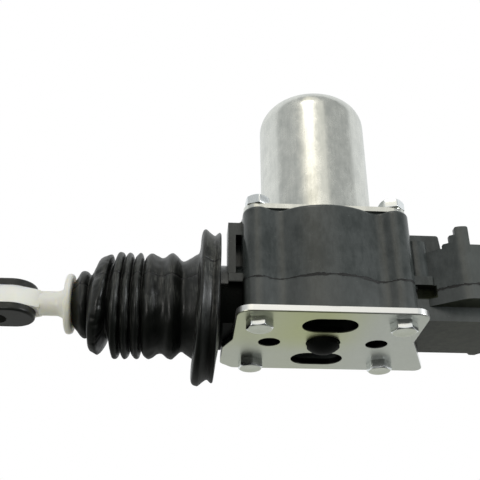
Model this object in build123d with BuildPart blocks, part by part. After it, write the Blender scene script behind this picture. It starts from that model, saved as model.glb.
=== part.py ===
from build123d import *

# Door latch actuator: a small motor drives a centrifugal clutch and a pinion, and the pinion moves
# a nylon rack whose rod leaves the case through a rubber bellows. Sizes are in millimetres.
#
# The origin is midway between the two mounting holes, on the outer face of the mounting plate.
# +Z runs up along the motor, and -X runs along the rod towards its eye.

import os
from math import acos, atan2, cos, hypot, pi, radians, sin, sqrt, tan

os.makedirs("parts", exist_ok=True)

# ---------------------------------------------------------------------------------------------
# Driving sizes
# ---------------------------------------------------------------------------------------------

# Clearances
running_gap = 0.03  # shaft or journal in its bearing, on the radius
seat_gap = 0.05  # a piece pressed or set in a seat of its own shape, on each side
moulding_gap = 0.15  # between two plastic mouldings that close on each other
slide_gap = 0.4  # rack frame in its channel, on each side

# Mounting plate
plate_thickness = 2.0
plate_width = 55.6  # across the straight near half
plate_inset = 0.1  # of its long edges from the case's bulge
plate_corner = 4.5
ear_start_y = -1.5  # where both ears begin to spread
right_ear_reach = 37.2  # from the motor's axis to the tip of the ear on the connector's side
left_ear_reach = 30.6
left_ear_slope = 7.0  # length over which the left ear spreads
left_ear_chamfer = 4.0
ear_corner = 2.4
mounting_spacing = 33.0
mounting_hole = 6.8
slot_length = 16.5
slot_width = 10.2
slot_offset = 13.5  # each slot's centre line from the line of the mounting holes
boss_hole = 10.6

# Screws: hexagon tapping screws of one size, with higher heads on the motor
screw_x = 20.9
screw_y = 16.4
screw_diameter = 4.2
screw_head_flats = 7.0
plate_head_height = 2.8
motor_head_height = 3.4
head_chamfer_angle = 30.0  # of the turned rim, from the top of the head
plate_screw_length = 18.0
motor_screw_length = 15.0

# Case
parting_z = 12.0
case_top_z = 35.8
bulge_radius = 23.4  # round the clutch drum
lobe_radius = 4.6  # round each screw
lobe_valley = 5.0
case_edge = 1.2
pocket_depth = 2.2  # behind the plate's slots and mounting holes
drum_room = 20.0  # radius of the clutch cavity
drum_room_top_z = 29.5
spigot_radius = 16.3
spigot_height = 1.5

# Rod and rack
rod_z = 11.0
rod_radius = 4.0
rack_height = 9.6
rack_width = 21.0
rack_back_x = 24.0
rack_front_x = -20.0
window_front_x = -16.0
window_back_x = 20.0
window_near_y = -7.6
window_corner = 1.5
tail_width = 6.0
tail_height = 6.0
tail_end_x = 41.0
rod_out = 12.0  # travel from rest, outwards
rod_in = 8.0  # travel from rest, inwards
bumper_thickness = 1.6
bumper_gap = 0.4

# Pinion and rack teeth
tooth_module = 1.0
pinion_teeth = 12
rack_teeth = 11
pressure_angle = 25.0
addendum = 0.95
dedendum = 1.25
backlash = 0.1

# Boot seat and bellows
snout_radius = 13.0
snout_end_x = -36.0
snout_wall = 2.0
boot_wall = 1.1

# Connector end
tunnel_wall = 2.0
tunnel_bottom_z = 2.7
tunnel_end_x = 56.0
shoulder_front_y = -19.5  # the near face of the connector body
shoulder_start_x = 30.4  # where the wall leaves the tunnel
shoulder_end_x = 40.4  # where it reaches its near face
shoulder_round = 6.0
shoulder_seam_x = 42.0  # the lower case's foot ends here
shoulder_bottom_z = 7.3
shoulder_top_z = 25.2
socket_depth = 13.0
socket_far_y = 0.5
socket_wall = 1.8
blade_width = 6.3
blade_thickness = 0.8
blade_spacing = 7.4
blade_reach = 10.0  # of each blade into the socket

# Motor
can_radius = 17.9
can_wall = 1.2
can_flange = 1.6
flange_side_inset = 0.4  # of the flange from the case's sides
flange_front_inset = 1.5  # and from the fronts of the lobes
can_top_z = 86.3
can_corner = 8.5
nose_radius = 5.7
nose_height = 2.5
shaft_radius = 2.0
bush_radius = 4.5
bush_length = 4.6
core_radius = 12.6
core_bottom_z = 48.0
core_length = 24.0
magnet_inner_radius = 13.3
magnet_arc = 128.0
magnet_bottom_z = 45.0
magnet_length = 30.0
commutator_radius = 5.2
commutator_bottom_z = 39.0
commutator_length = 4.4

# Clutch
drum_radius = 19.0
drum_wall = 1.2
drum_bottom_z = 17.0
drum_floor = 1.6
drum_top_z = 27.6
shoe_gap = 0.6  # between a shoe at rest and the drum
shoe_inner_radius = 11.4
shoe_bottom_z = 21.4
shoe_height = 5.0
shoe_start = 30.0  # degrees
shoe_end = 150.0
shoe_pivot_angle = 40.0
shoe_pivot_radius = 14.4
shoe_pin_radius = 1.4
shoe_lift = 0.2  # between the shoes and the hub's arms

# Eye and its grommet
eye_x = -99.5
eye_half_straight = 5.15
eye_thickness = 5.7
eye_outer_radius = 6.8
eye_hole_radius = 4.9
grommet_flange = 2.4
grommet_radius = 7.0
grommet_bore = 7.5
grommet_round = 0.9
neck_radius = 3.75
neck_start_x = -86.9
disc_left_x = -78.3
disc_right_x = -76.1
disc_radius = 9.2
groove_radius = 4.6
groove_end_x = -72.4
collar_radius = 6.2
collar_end_x = -70.6
disc_blend = 3.0

# ---------------------------------------------------------------------------------------------
# Sizes worked out from the driving ones
# ---------------------------------------------------------------------------------------------

pitch_radius = tooth_module * pinion_teeth / 2
tooth_pitch = pi * tooth_module
rack_bottom_z = rod_z - rack_height / 2
rack_top_z = rod_z + rack_height / 2
channel_half = rack_width / 2 + slide_gap
channel_bottom_z = rack_bottom_z - slide_gap
channel_top_z = rack_top_z + slide_gap
channel_front_x = rack_front_x - rod_out - bumper_gap - bumper_thickness
channel_back_x = rack_back_x + rod_in + bumper_gap + bumper_thickness
tail_room_end_x = tail_end_x + rod_in + 2.0
tunnel_half = channel_half + tunnel_wall
screw_hole_radius = screw_diameter / 2 + seat_gap
case_half_width = screw_x + lobe_radius
rod_axis = Axis((0, 0, rod_z), (1, 0, 0))
rod_plane = Plane((0, 0, rod_z), x_dir=(1, 0, 0), z_dir=(0, -1, 0))  # local y is the radius
axis_plane = Plane.XZ  # local x is the radius from the motor's axis, local y is the height
socket_middle_y = (shoulder_front_y + socket_far_y) / 2
socket_middle_z = (shoulder_bottom_z + shoulder_top_z) / 2
socket_width = socket_far_y - shoulder_front_y
socket_height = shoulder_top_z - shoulder_bottom_z


def corners_at(builder, *points):
    """The vertices of a sketch nearest to the given points of its own plane."""
    return [
        min(builder.vertices(), key=lambda v: (v.X - x) ** 2 + (v.Y - y) ** 2)
        for x, y in points
    ]


# ---------------------------------------------------------------------------------------------
# Mounting plate
# ---------------------------------------------------------------------------------------------

half_w = plate_width / 2
half_d = bulge_radius - plate_inset
ear_left_top = half_d - left_ear_chamfer

with BuildPart() as mounting_plate:
    with BuildSketch() as plate_plan:
        with BuildLine():
            Polyline(
                (-half_w, -half_d),
                (half_w, -half_d),
                (half_w, ear_start_y),
                (right_ear_reach, half_d),
                (left_ear_chamfer - left_ear_reach, half_d),
                (-left_ear_reach, ear_left_top),
                (-left_ear_reach, ear_start_y + left_ear_slope),
                (-half_w, ear_start_y),
                close=True,
            )
        make_face()
        fillet(corners_at(plate_plan, (-half_w, -half_d), (half_w, -half_d)), plate_corner)
        fillet(
            corners_at(
                plate_plan,
                (right_ear_reach, half_d),
                (left_ear_chamfer - left_ear_reach, half_d),
                (-left_ear_reach, ear_left_top),
                (-left_ear_reach, ear_start_y + left_ear_slope),
            ),
            ear_corner,
        )
        fillet(corners_at(plate_plan, (half_w, ear_start_y), (-half_w, ear_start_y)), ear_corner)
        with GridLocations(mounting_spacing, 0, 2, 1):
            Circle(mounting_hole / 2, mode=Mode.SUBTRACT)
        with GridLocations(0, 2 * slot_offset, 1, 2):
            SlotOverall(slot_length, slot_width, mode=Mode.SUBTRACT)
        Circle(boss_hole / 2, mode=Mode.SUBTRACT)
        with GridLocations(2 * screw_x, 2 * screw_y, 2, 2):
            Circle(screw_hole_radius, mode=Mode.SUBTRACT)
    extrude(amount=plate_thickness)
    fillet(mounting_plate.faces().sort_by(Axis.Z)[0].outer_wire().edges(), plate_thickness * 0.2)
mounting_plate.part.label = "mounting_plate"
export_step(mounting_plate.part, "parts/mounting_plate.step")

# ---------------------------------------------------------------------------------------------
# Case plan, shared by both halves: a round bulge and four screw lobes
# ---------------------------------------------------------------------------------------------

# Each valley between the bulge and a lobe is an arc that touches both. The centres of the three
# circles make a triangle, whose sides give the valley's place.
lobe_distance = hypot(screw_x, screw_y)
to_valley = bulge_radius + lobe_valley
lobe_to_valley = lobe_radius + lobe_valley
valley_turn = acos(
    (to_valley**2 + lobe_distance**2 - lobe_to_valley**2) / (2 * to_valley * lobe_distance)
)
valley_angle = atan2(screw_y, screw_x) + valley_turn
valley_centre = (to_valley * cos(valley_angle), to_valley * sin(valley_angle))

with BuildSketch() as case_plan:
    Polygon((0, 0), (screw_x, screw_y), valley_centre, align=None)
    with Locations(valley_centre):
        Circle(lobe_valley, mode=Mode.SUBTRACT)
    mirror(about=Plane.YZ)
    mirror(about=Plane.XZ)
    Circle(bulge_radius)
    Rectangle(2 * case_half_width, 2 * screw_y)
    with GridLocations(2 * screw_x, 2 * screw_y, 2, 2):
        Circle(lobe_radius)

# The near side of the connector body, shared by both halves as well
with BuildSketch() as shoulder_plan:
    Polygon(
        (shoulder_start_x, -channel_half),
        (shoulder_start_x, -tunnel_half),
        (shoulder_end_x, shoulder_front_y),
        (tunnel_end_x, shoulder_front_y),
        (tunnel_end_x, -channel_half),
        align=None,
    )
    fillet(corners_at(shoulder_plan, (shoulder_end_x, shoulder_front_y)), shoulder_round)

# ---------------------------------------------------------------------------------------------
# Lower case: rack channel, pinion bearing, lower half of the snout and of the rack tunnel
# ---------------------------------------------------------------------------------------------

boss_radius = boss_hole / 2 - 0.3
boss_drop = 3.4  # below the plate's outer face
boss_shoulder = 1.4  # where the rounded end of the boss begins
journal_radius = 2.5
journal_bottom_z = -0.8
boss_dome = boss_drop - boss_shoulder
boss_dome_radius = (boss_radius**2 + boss_dome**2) / (2 * boss_dome)
tunnel_front_x = 20.0
tab_x = 50.5
tab_length = 3.0
tab_height = 3.0
tab_reach = 1.5
tab_bevel = 1.2
snout_foot_x = -left_ear_reach - 0.5  # the plate's ear reaches this far under the snout
latch_front_x = 27.0  # pocket beside the case, under a small ledge
latch_back_x = 32.8
latch_bottom_z = 10.0
latch_top_z = 13.6
latch_round = 1.2
latch_depth = 1.4  # into the tunnel's wall
latch_reach = 4.0  # clear of everything in front of it


def dome_height_at(radius):
    """Height of the boss's spherical end at a distance from its axis."""
    return boss_dome_radius - sqrt(boss_dome_radius**2 - radius**2) - boss_drop


with BuildPart() as lower_case:
    with BuildSketch(Plane.XY.offset(plate_thickness)):
        add(case_plan.sketch)
    extrude(amount=parting_z - plate_thickness)
    # tunnel for the rack's back end and its tail
    with BuildSketch(Plane.XY.offset(tunnel_bottom_z)):
        with Locations((tunnel_front_x, 0)):
            Rectangle(
                tunnel_end_x - tunnel_front_x,
                2 * tunnel_half,
                align=(Align.MIN, Align.CENTER),
            )
    extrude(amount=parting_z - tunnel_bottom_z)
    # sloping foot of the connector body
    with BuildSketch(Plane.XY.offset(shoulder_bottom_z)):
        add(shoulder_plan.sketch)
        with Locations((0, -tunnel_wall / 2 - channel_half)):
            Rectangle(
                shoulder_seam_x,
                2 * tunnel_half,
                align=(Align.MIN, Align.MAX),
                mode=Mode.INTERSECT,
            )
    extrude(amount=parting_z - shoulder_bottom_z)
    # small lug on the far side of the tunnel
    with BuildSketch(Plane.XY.offset(tunnel_bottom_z)):
        Polygon(
            (tab_x - tab_bevel, tunnel_half - 1.0),
            (tab_x - tab_bevel, tunnel_half),
            (tab_x, tunnel_half + tab_reach),
            (tab_x + tab_length - tab_bevel, tunnel_half + tab_reach),
            (tab_x + tab_length, tunnel_half),
            (tab_x + tab_length, tunnel_half - 1.0),
            align=None,
        )
    extrude(amount=tab_height)
    # lower half of the snout, flat where it stands on the plate
    with BuildSketch(Plane.YZ.offset(snout_end_x)):
        with Locations((0, rod_z)):
            Circle(snout_radius)
        with Locations((0, parting_z)):
            Rectangle(
                4 * snout_radius, 4 * snout_radius, align=(Align.CENTER, Align.MIN), mode=Mode.SUBTRACT
            )
    extrude(amount=-snout_end_x - case_half_width + 1.0)
    with BuildSketch(Plane.XY.offset(plate_thickness)):
        with Locations((snout_foot_x, 0)):
            Rectangle(
                -snout_foot_x - case_half_width + 1.0,
                2 * snout_radius,
                align=(Align.MIN, Align.CENTER),
            )
    extrude(amount=-4 * plate_thickness, mode=Mode.SUBTRACT)
    # boss for the pinion's lower journal, down through the plate
    with BuildSketch(axis_plane):
        with BuildLine():
            Line((0, plate_thickness + 1.0), (boss_radius, plate_thickness + 1.0))
            Line((boss_radius, plate_thickness + 1.0), (boss_radius, -boss_shoulder))
            ThreePointArc(
                (boss_radius, -boss_shoulder),
                (boss_radius / 2, dome_height_at(boss_radius / 2)),
                (0, -boss_drop),
            )
            Line((0, -boss_drop), (0, plate_thickness + 1.0))
        make_face()
    revolve(axis=Axis.Z)
    # rack channel and tail channel
    with BuildSketch(Plane.XY.offset(parting_z)):
        with Locations((channel_front_x, 0)):
            Rectangle(
                channel_back_x - channel_front_x,
                2 * channel_half,
                align=(Align.MIN, Align.CENTER),
            )
    extrude(amount=channel_bottom_z - parting_z, mode=Mode.SUBTRACT)
    with BuildSketch(Plane.XY.offset(parting_z)):
        with Locations((channel_back_x, 0)):
            Rectangle(
                tail_room_end_x - channel_back_x,
                tail_width + 2 * slide_gap,
                align=(Align.MIN, Align.CENTER),
            )
    extrude(amount=rod_z - tail_height / 2 - slide_gap - parting_z, mode=Mode.SUBTRACT)
    # hole for the rod through the snout's end
    with BuildSketch(Plane.YZ.offset(snout_end_x - 1.0)):
        with Locations((0, rod_z)):
            Circle(rod_radius + moulding_gap)
    extrude(amount=channel_front_x - snout_end_x + 2.0, mode=Mode.SUBTRACT)
    # bearing of the pinion
    with BuildSketch(Plane.XY.offset(journal_bottom_z - 0.3)):
        Circle(journal_radius + running_gap)
    extrude(amount=channel_bottom_z - journal_bottom_z + 0.3, mode=Mode.SUBTRACT)
    # lower half of the latch pocket in the tunnel's near wall
    with BuildSketch(Plane.XZ.offset(tunnel_half - latch_depth)):
        with Locations((latch_front_x, latch_bottom_z)):
            RectangleRounded(
                latch_back_x - latch_front_x,
                latch_top_z - latch_bottom_z,
                latch_round,
                align=(Align.MIN, Align.MIN),
            )
    extrude(amount=latch_reach, mode=Mode.SUBTRACT)
    # pockets behind the plate's slots and mounting holes, and screw holes
    with BuildSketch(Plane.XY.offset(plate_thickness)):
        with GridLocations(mounting_spacing, 0, 2, 1):
            Circle(mounting_hole / 2)
        with GridLocations(0, 2 * slot_offset, 1, 2):
            SlotOverall(slot_length, slot_width)
    extrude(amount=pocket_depth, mode=Mode.SUBTRACT)
    with BuildSketch(Plane.XY.offset(plate_thickness)):
        with GridLocations(2 * screw_x, 2 * screw_y, 2, 2):
            Circle(screw_hole_radius)
    extrude(amount=parting_z - plate_thickness, mode=Mode.SUBTRACT)
lower_case.part.label = "lower_case"
export_step(lower_case.part, "parts/lower_case.step")

# ---------------------------------------------------------------------------------------------
# Upper case: clutch cavity, motor seat, ears and connector body
# ---------------------------------------------------------------------------------------------

ear_reach = 29.7
ear_bead = 2.3  # width of the upright bead along the ear's free edge
ear_bead_depth = 1.5
ear_front_y = -12.5
ear_web_y = -6.0  # near face of the thin web behind the bead
ear_web = 1.4
ear_bottom_z = 16.9
ear_window_top_z = 30.0
ear_top_z = 34.2
ear_blend = 1.1
left_ledge_bottom_z = 12.9
left_ledge_top_z = 15.7
left_ledge_front_y = -14.8
left_ledge_back_y = -7.0
left_ledge_end_x = -25.4
right_ledge_top_z = 16.5
right_ledge_front_y = -14.6
strip_middle_x = 28.8  # rounded wall between the case and the connector body
strip_end_x = 31.6
strip_swell = 1.4
strip_top_z = 28.8
block_back_x = 36.4
block_slant = 0.7
block_far_y = -2.0
block_top_z = 31.4
block_corner = 0.8
lug_foot_x = 35.8  # left edges of the three steps of the lug
lug_step_x = 37.6
lug_front_x = 39.1
lug_back_x = 43.1
lug_foot_top_z = 26.6
lug_step_top_z = 29.0
lug_top_z = 31.5
lug_thickness = 1.4
lug_corner = 0.6
low_side_y = 2.5
low_side_z = 19.5
breaker_x = 36.5
breaker_length = 13.0
breaker_width = 6.4
breaker_height = 9.4
breaker_y = -8.2

with BuildPart() as lock_lug:
    with BuildSketch(Plane.XY.offset(shoulder_top_z - 1.0)):
        add(shoulder_plan.sketch)
        with Locations((0, lug_thickness)):
            add(shoulder_plan.sketch, mode=Mode.SUBTRACT)
    extrude(amount=lug_top_z - shoulder_top_z + 1.0)
    with BuildSketch(Plane.XZ) as lug_face:
        Polygon(
            (lug_foot_x, shoulder_top_z - 1.0),
            (lug_foot_x, lug_foot_top_z),
            (lug_step_x, lug_foot_top_z),
            (lug_step_x, lug_step_top_z),
            (lug_front_x, lug_step_top_z),
            (lug_front_x, lug_top_z),
            (lug_back_x, lug_top_z),
            (lug_back_x, shoulder_top_z - 1.0),
            align=None,
        )
        fillet(
            corners_at(lug_face, (lug_front_x, lug_top_z), (lug_back_x, lug_top_z)), lug_corner
        )
    extrude(amount=-shoulder_front_y + 1.0, mode=Mode.INTERSECT)

with BuildPart() as upper_case:
    with BuildSketch(Plane.XY.offset(parting_z)):
        add(case_plan.sketch)
    extrude(amount=case_top_z - parting_z)
    fillet(upper_case.faces().sort_by(Axis.Z)[-1].edges(), case_edge)
    with BuildSketch(Plane.XY.offset(case_top_z)):
        Circle(spigot_radius)
    extrude(amount=spigot_height)
    # upper half of the snout
    with BuildSketch(Plane.YZ.offset(snout_end_x)):
        with Locations((0, rod_z)):
            Circle(snout_radius)
        with Locations((0, parting_z)):
            Rectangle(
                4 * snout_radius, 4 * snout_radius, align=(Align.CENTER, Align.MAX), mode=Mode.SUBTRACT
            )
    extrude(amount=-snout_end_x - case_half_width + 1.0)
    # ear beside the boot: an upright bead, joined to the case at the top and by a web behind
    with BuildSketch(Plane.XY.offset(ear_bottom_z)):
        with Locations((-ear_reach, ear_front_y)):
            Rectangle(ear_bead, ear_bead_depth, align=(Align.MIN, Align.MIN))
            Rectangle(
                ear_bead / 2, ear_web_y - ear_front_y, align=(Align.MIN, Align.MIN)
            )
        with Locations((-ear_reach, ear_web_y)):
            Rectangle(
                ear_reach - case_half_width + 1.0, ear_web, align=(Align.MIN, Align.MIN)
            )
    extrude(amount=ear_top_z - ear_bottom_z)
    with BuildSketch(Plane.XZ.offset(-ear_front_y)) as ear_face:
        Polygon(
            (-case_half_width + 1.0, ear_window_top_z),
            (-ear_reach + ear_bead / 2, ear_window_top_z),
            (-ear_reach + ear_bead / 2, ear_top_z),
            (-case_half_width, ear_top_z),
            (-case_half_width, ear_top_z + ear_blend + 0.1),
            (-case_half_width + 1.0, ear_top_z + ear_blend + 0.1),
            align=None,
        )
        fillet(corners_at(ear_face, (-case_half_width, ear_top_z)), ear_blend)
    extrude(amount=-(ear_web_y + ear_web - ear_front_y))
    # ledge under it
    with BuildSketch(Plane.XY.offset(left_ledge_bottom_z)):
        with Locations((-ear_reach, left_ledge_front_y)):
            Rectangle(
                ear_reach + left_ledge_end_x,
                left_ledge_back_y - left_ledge_front_y,
                align=(Align.MIN, Align.MIN),
            )
    extrude(amount=left_ledge_top_z - left_ledge_bottom_z)
    # connector body over the rack tunnel
    with BuildSketch(Plane.XY.offset(parting_z)):
        add(shoulder_plan.sketch)
        with Locations((case_half_width - 1.0, 0)):
            Rectangle(
                tunnel_end_x - case_half_width + 1.0,
                2 * tunnel_half,
                align=(Align.MIN, Align.CENTER),
            )
    extrude(amount=shoulder_top_z - parting_z)
    # the near side of the connector body hangs below the parting plane
    with BuildSketch(Plane.XY.offset(shoulder_bottom_z)):
        with Locations((shoulder_seam_x, shoulder_front_y)):
            Rectangle(
                tunnel_end_x - shoulder_seam_x,
                -tunnel_half - shoulder_front_y,
                align=(Align.MIN, Align.MIN),
            )
    extrude(amount=parting_z - shoulder_bottom_z)
    # the far side is only as high as the rack needs
    with BuildSketch(Plane.XY.offset(low_side_z)):
        with Locations((case_half_width, low_side_y)):
            Rectangle(tunnel_end_x, tunnel_half, align=(Align.MIN, Align.MIN))
    extrude(amount=shoulder_top_z, mode=Mode.SUBTRACT)
    # rounded wall between the case and the connector body, and the block above it
    with BuildSketch(Plane.XY.offset(parting_z)):
        with BuildLine():
            ThreePointArc(
                (case_half_width, -tunnel_half),
                (strip_middle_x, -tunnel_half - strip_swell),
                (strip_end_x, -tunnel_half),
            )
            Line((strip_end_x, -tunnel_half), (case_half_width, -tunnel_half))
        make_face()
    extrude(amount=strip_top_z - parting_z)
    with BuildSketch(Plane.XZ.offset(tunnel_half)) as block_face:
        Polygon(
            (case_half_width - 1.0, shoulder_top_z - 1.0),
            (block_back_x, shoulder_top_z - 1.0),
            (block_back_x - block_slant, block_top_z),
            (case_half_width - 1.0, block_top_z),
            align=None,
        )
        fillet(corners_at(block_face, (block_back_x - block_slant, block_top_z)), block_corner)
    extrude(amount=-(tunnel_half + block_far_y))
    # ledge over the latch pocket, and the pocket's upper half
    with BuildSketch(Plane.XY.offset(latch_top_z)):
        with Locations((case_half_width, right_ledge_front_y)):
            Rectangle(
                latch_back_x - case_half_width - 1.0,
                -channel_half - right_ledge_front_y,
                align=(Align.MIN, Align.MIN),
            )
    extrude(amount=right_ledge_top_z - latch_top_z)
    with BuildSketch(Plane.XZ.offset(tunnel_half - latch_depth)):
        with Locations((latch_front_x, latch_bottom_z)):
            Rectangle(
                latch_back_x - latch_front_x,
                latch_top_z - latch_bottom_z,
                align=(Align.MIN, Align.MIN),
            )
    extrude(amount=latch_reach, mode=Mode.SUBTRACT)
    # stepped lock lug, a short piece of the near wall carried upwards
    add(lock_lug.part)
    # clutch cavity, open downwards, and the rack's room under the connector body
    with BuildSketch(Plane.XY.offset(parting_z)):
        Circle(drum_room)
    extrude(amount=drum_room_top_z - parting_z, mode=Mode.SUBTRACT)
    with BuildSketch(Plane.XY.offset(parting_z)):
        with Locations((channel_front_x, 0)):
            Rectangle(
                channel_back_x - channel_front_x,
                2 * channel_half,
                align=(Align.MIN, Align.CENTER),
            )
    extrude(amount=channel_top_z - parting_z, mode=Mode.SUBTRACT)
    with BuildSketch(Plane.XY.offset(parting_z)):
        with Locations((channel_back_x, 0)):
            Rectangle(
                tail_room_end_x - channel_back_x,
                tail_width + 2 * slide_gap,
                align=(Align.MIN, Align.CENTER),
            )
    extrude(amount=rod_z + tail_height / 2 + slide_gap - parting_z, mode=Mode.SUBTRACT)
    with BuildSketch(Plane.YZ.offset(snout_end_x - 1.0)):
        with Locations((0, rod_z)):
            Circle(rod_radius + moulding_gap)
    extrude(amount=channel_front_x - snout_end_x + 2.0, mode=Mode.SUBTRACT)
    # pocket of the circuit breaker
    with BuildSketch(Plane.XY.offset(parting_z)):
        with Locations((breaker_x, breaker_y)):
            Rectangle(
                breaker_length + 2 * moulding_gap,
                breaker_width + 2 * moulding_gap,
                align=(Align.MIN, Align.CENTER),
            )
    extrude(amount=breaker_height + 2 * moulding_gap, mode=Mode.SUBTRACT)
    # slots of the two terminals
    with BuildSketch(Plane.YZ.offset(breaker_x + breaker_length + 2 * moulding_gap)):
        with Locations((socket_middle_y, socket_middle_z)):
            with GridLocations(blade_spacing, 0, 2, 1):
                Rectangle(blade_thickness + 2 * seat_gap, blade_width + 2 * seat_gap)
    extrude(amount=tunnel_end_x - breaker_x - breaker_length, mode=Mode.SUBTRACT)
    # shaft hole, bearing seat and screw holes
    with BuildSketch(Plane.XY.offset(drum_room_top_z - 1.0)):
        Circle(shaft_radius + 0.8)
    extrude(amount=case_top_z - drum_room_top_z + 4.0, mode=Mode.SUBTRACT)
    with BuildSketch(Plane.XY.offset(case_top_z + spigot_height - bush_length)):
        Circle(bush_radius + seat_gap)
    extrude(amount=bush_length + 1.0, mode=Mode.SUBTRACT)
    with BuildSketch(Plane.XY.offset(parting_z)):
        with GridLocations(2 * screw_x, 2 * screw_y, 2, 2):
            Circle(screw_hole_radius)
    extrude(amount=case_top_z - parting_z, mode=Mode.SUBTRACT)
upper_case.part.label = "upper_case"
export_step(upper_case.part, "parts/upper_case.step")

# ---------------------------------------------------------------------------------------------
# Socket shroud, welded to the end of the connector body round the two terminals
# ---------------------------------------------------------------------------------------------

with BuildPart() as socket_shroud:
    with BuildSketch(Plane.YZ.offset(tunnel_end_x)):
        with Locations((socket_middle_y, socket_middle_z)):
            RectangleRounded(socket_width, socket_height, 2.4)
            RectangleRounded(
                socket_width - 2 * socket_wall,
                socket_height - 2 * socket_wall,
                1.2,
                mode=Mode.SUBTRACT,
            )
    extrude(amount=socket_depth)
    fillet(socket_shroud.faces().sort_by(Axis.X)[-1].outer_wire().edges(), socket_wall / 4)
socket_shroud.part.label = "socket_shroud"
export_step(socket_shroud.part, "parts/socket_shroud.step")

# ---------------------------------------------------------------------------------------------
# Screws: four hold the plate, four hold the motor, all with bevelled hexagon heads
# ---------------------------------------------------------------------------------------------

screw_spots = [(x, y) for x in (-screw_x, screw_x) for y in (-screw_y, screw_y)]
flange_top_z = case_top_z + can_flange

chamfer_slope = tan(radians(90.0 - head_chamfer_angle))


def turned_head(head_plane, across_flats, height):
    """A hexagon head on a plane, with its rim turned down where the corners would be."""
    rim = 0.95 * across_flats / 2
    with BuildPart() as head:
        with BuildSketch(head_plane):
            RegularPolygon(across_flats / 2, 6, major_radius=False)
        extrude(amount=height)
        side = Plane(head_plane.origin, x_dir=head_plane.x_dir, z_dir=-head_plane.y_dir)
        with BuildSketch(side):
            Polygon(
                (0, 0), (rim + height * chamfer_slope, 0), (rim, height), (0, height), align=None
            )
        revolve(axis=Axis(head_plane.origin, head_plane.z_dir), mode=Mode.INTERSECT)
    return head.part


for number, (x, y) in enumerate(screw_spots, start=1):
    plate_seat = Plane((x, y, 0), x_dir=(1, 0, 0), z_dir=(0, 0, -1))
    with BuildPart() as plate_screw:
        add(turned_head(plate_seat, screw_head_flats, plate_head_height))
        with BuildSketch(plate_seat):
            Circle(screw_diameter / 2)
        extrude(amount=-plate_screw_length)
        chamfer(plate_screw.faces().sort_by(Axis.Z)[-1].edges(), screw_diameter / 6)
    plate_screw.part.label = f"plate_screw_{number}"
    export_step(plate_screw.part, f"parts/plate_screw_{number}.step")

    flange_seat = Plane((x, y, flange_top_z), x_dir=(1, 0, 0), z_dir=(0, 0, 1))
    with BuildPart() as motor_screw:
        add(turned_head(flange_seat, screw_head_flats, motor_head_height))
        with BuildSketch(flange_seat):
            Circle(screw_diameter / 2)
        extrude(amount=-motor_screw_length)
        chamfer(motor_screw.faces().sort_by(Axis.Z)[0].edges(), screw_diameter / 6)
    motor_screw.part.label = f"motor_screw_{number}"
    export_step(motor_screw.part, f"parts/motor_screw_{number}.step")

# ---------------------------------------------------------------------------------------------
# Motor can: drawn steel, with a flange at its mouth and a bearing nose on its dome
# ---------------------------------------------------------------------------------------------

can_inner_radius = can_radius - can_wall
can_inner_top_z = can_top_z - can_wall
nose_inner_radius = nose_radius - can_wall
nose_top_z = can_top_z + nose_height
mouth_radius = 1.2

with BuildPart() as motor_can:
    with BuildSketch(axis_plane) as can_profile:
        with BuildLine():
            Polyline(
                (can_inner_radius, case_top_z),
                (can_radius, case_top_z),
                (can_radius, can_top_z),
                (nose_radius, can_top_z),
                (nose_radius, nose_top_z),
                (0, nose_top_z),
                (0, nose_top_z - can_wall),
                (nose_inner_radius, nose_top_z - can_wall),
                (nose_inner_radius, can_inner_top_z),
                (can_inner_radius, can_inner_top_z),
                close=True,
            )
        make_face()
        fillet(corners_at(can_profile, (can_radius, can_top_z)), can_corner)
        fillet(corners_at(can_profile, (can_inner_radius, can_inner_top_z)), can_corner - can_wall)
        fillet(corners_at(can_profile, (nose_radius, nose_top_z)), can_wall * 0.7)
    revolve(axis=Axis.Z)
    with BuildSketch(Plane.XY.offset(case_top_z)):
        RectangleRounded(
            2 * (case_half_width - flange_side_inset),
            2 * (screw_y + lobe_radius - flange_front_inset),
            lobe_radius - flange_side_inset,
        )
        Circle(can_inner_radius, mode=Mode.SUBTRACT)
        with GridLocations(2 * screw_x, 2 * screw_y, 2, 2):
            Circle(screw_hole_radius, mode=Mode.SUBTRACT)
    extrude(amount=can_flange)
    mouth = motor_can.edges().filter_by(GeomType.CIRCLE).filter_by(
        lambda e: abs(e.radius - can_radius) < 0.01 and abs(e.center().Z - flange_top_z) < 0.01
    )
    fillet(mouth, mouth_radius)
motor_can.part.label = "motor_can"
export_step(motor_can.part, "parts/motor_can.step")

# ---------------------------------------------------------------------------------------------
# Magnets and their clips
# ---------------------------------------------------------------------------------------------

magnet_outer_radius = can_inner_radius - seat_gap
clip_arc = 180.0 - magnet_arc - 6.0
clip_thickness = 0.8
clip_lip = 1.6


def ring_sector(inner, outer, middle, arc):
    """A sector of a ring, as a sketch."""
    start = middle - arc / 2
    with BuildSketch() as sector:
        with BuildLine():
            inner_arc = CenterArc((0, 0), inner, start, arc)
            outer_arc = CenterArc((0, 0), outer, start, arc)
            Line(inner_arc @ 0, outer_arc @ 0)
            Line(inner_arc @ 1, outer_arc @ 1)
        make_face()
    return sector.sketch


for name, middle in (("magnet_left", 180.0), ("magnet_right", 0.0)):
    with BuildPart() as magnet:
        with BuildSketch(Plane.XY.offset(magnet_bottom_z)):
            add(ring_sector(magnet_inner_radius, magnet_outer_radius, middle, magnet_arc))
        extrude(amount=magnet_length)
        chamfer(magnet.edges().filter_by(Axis.Z), 0.5)
    magnet.part.label = name
    export_step(magnet.part, f"parts/{name}.step")

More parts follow.
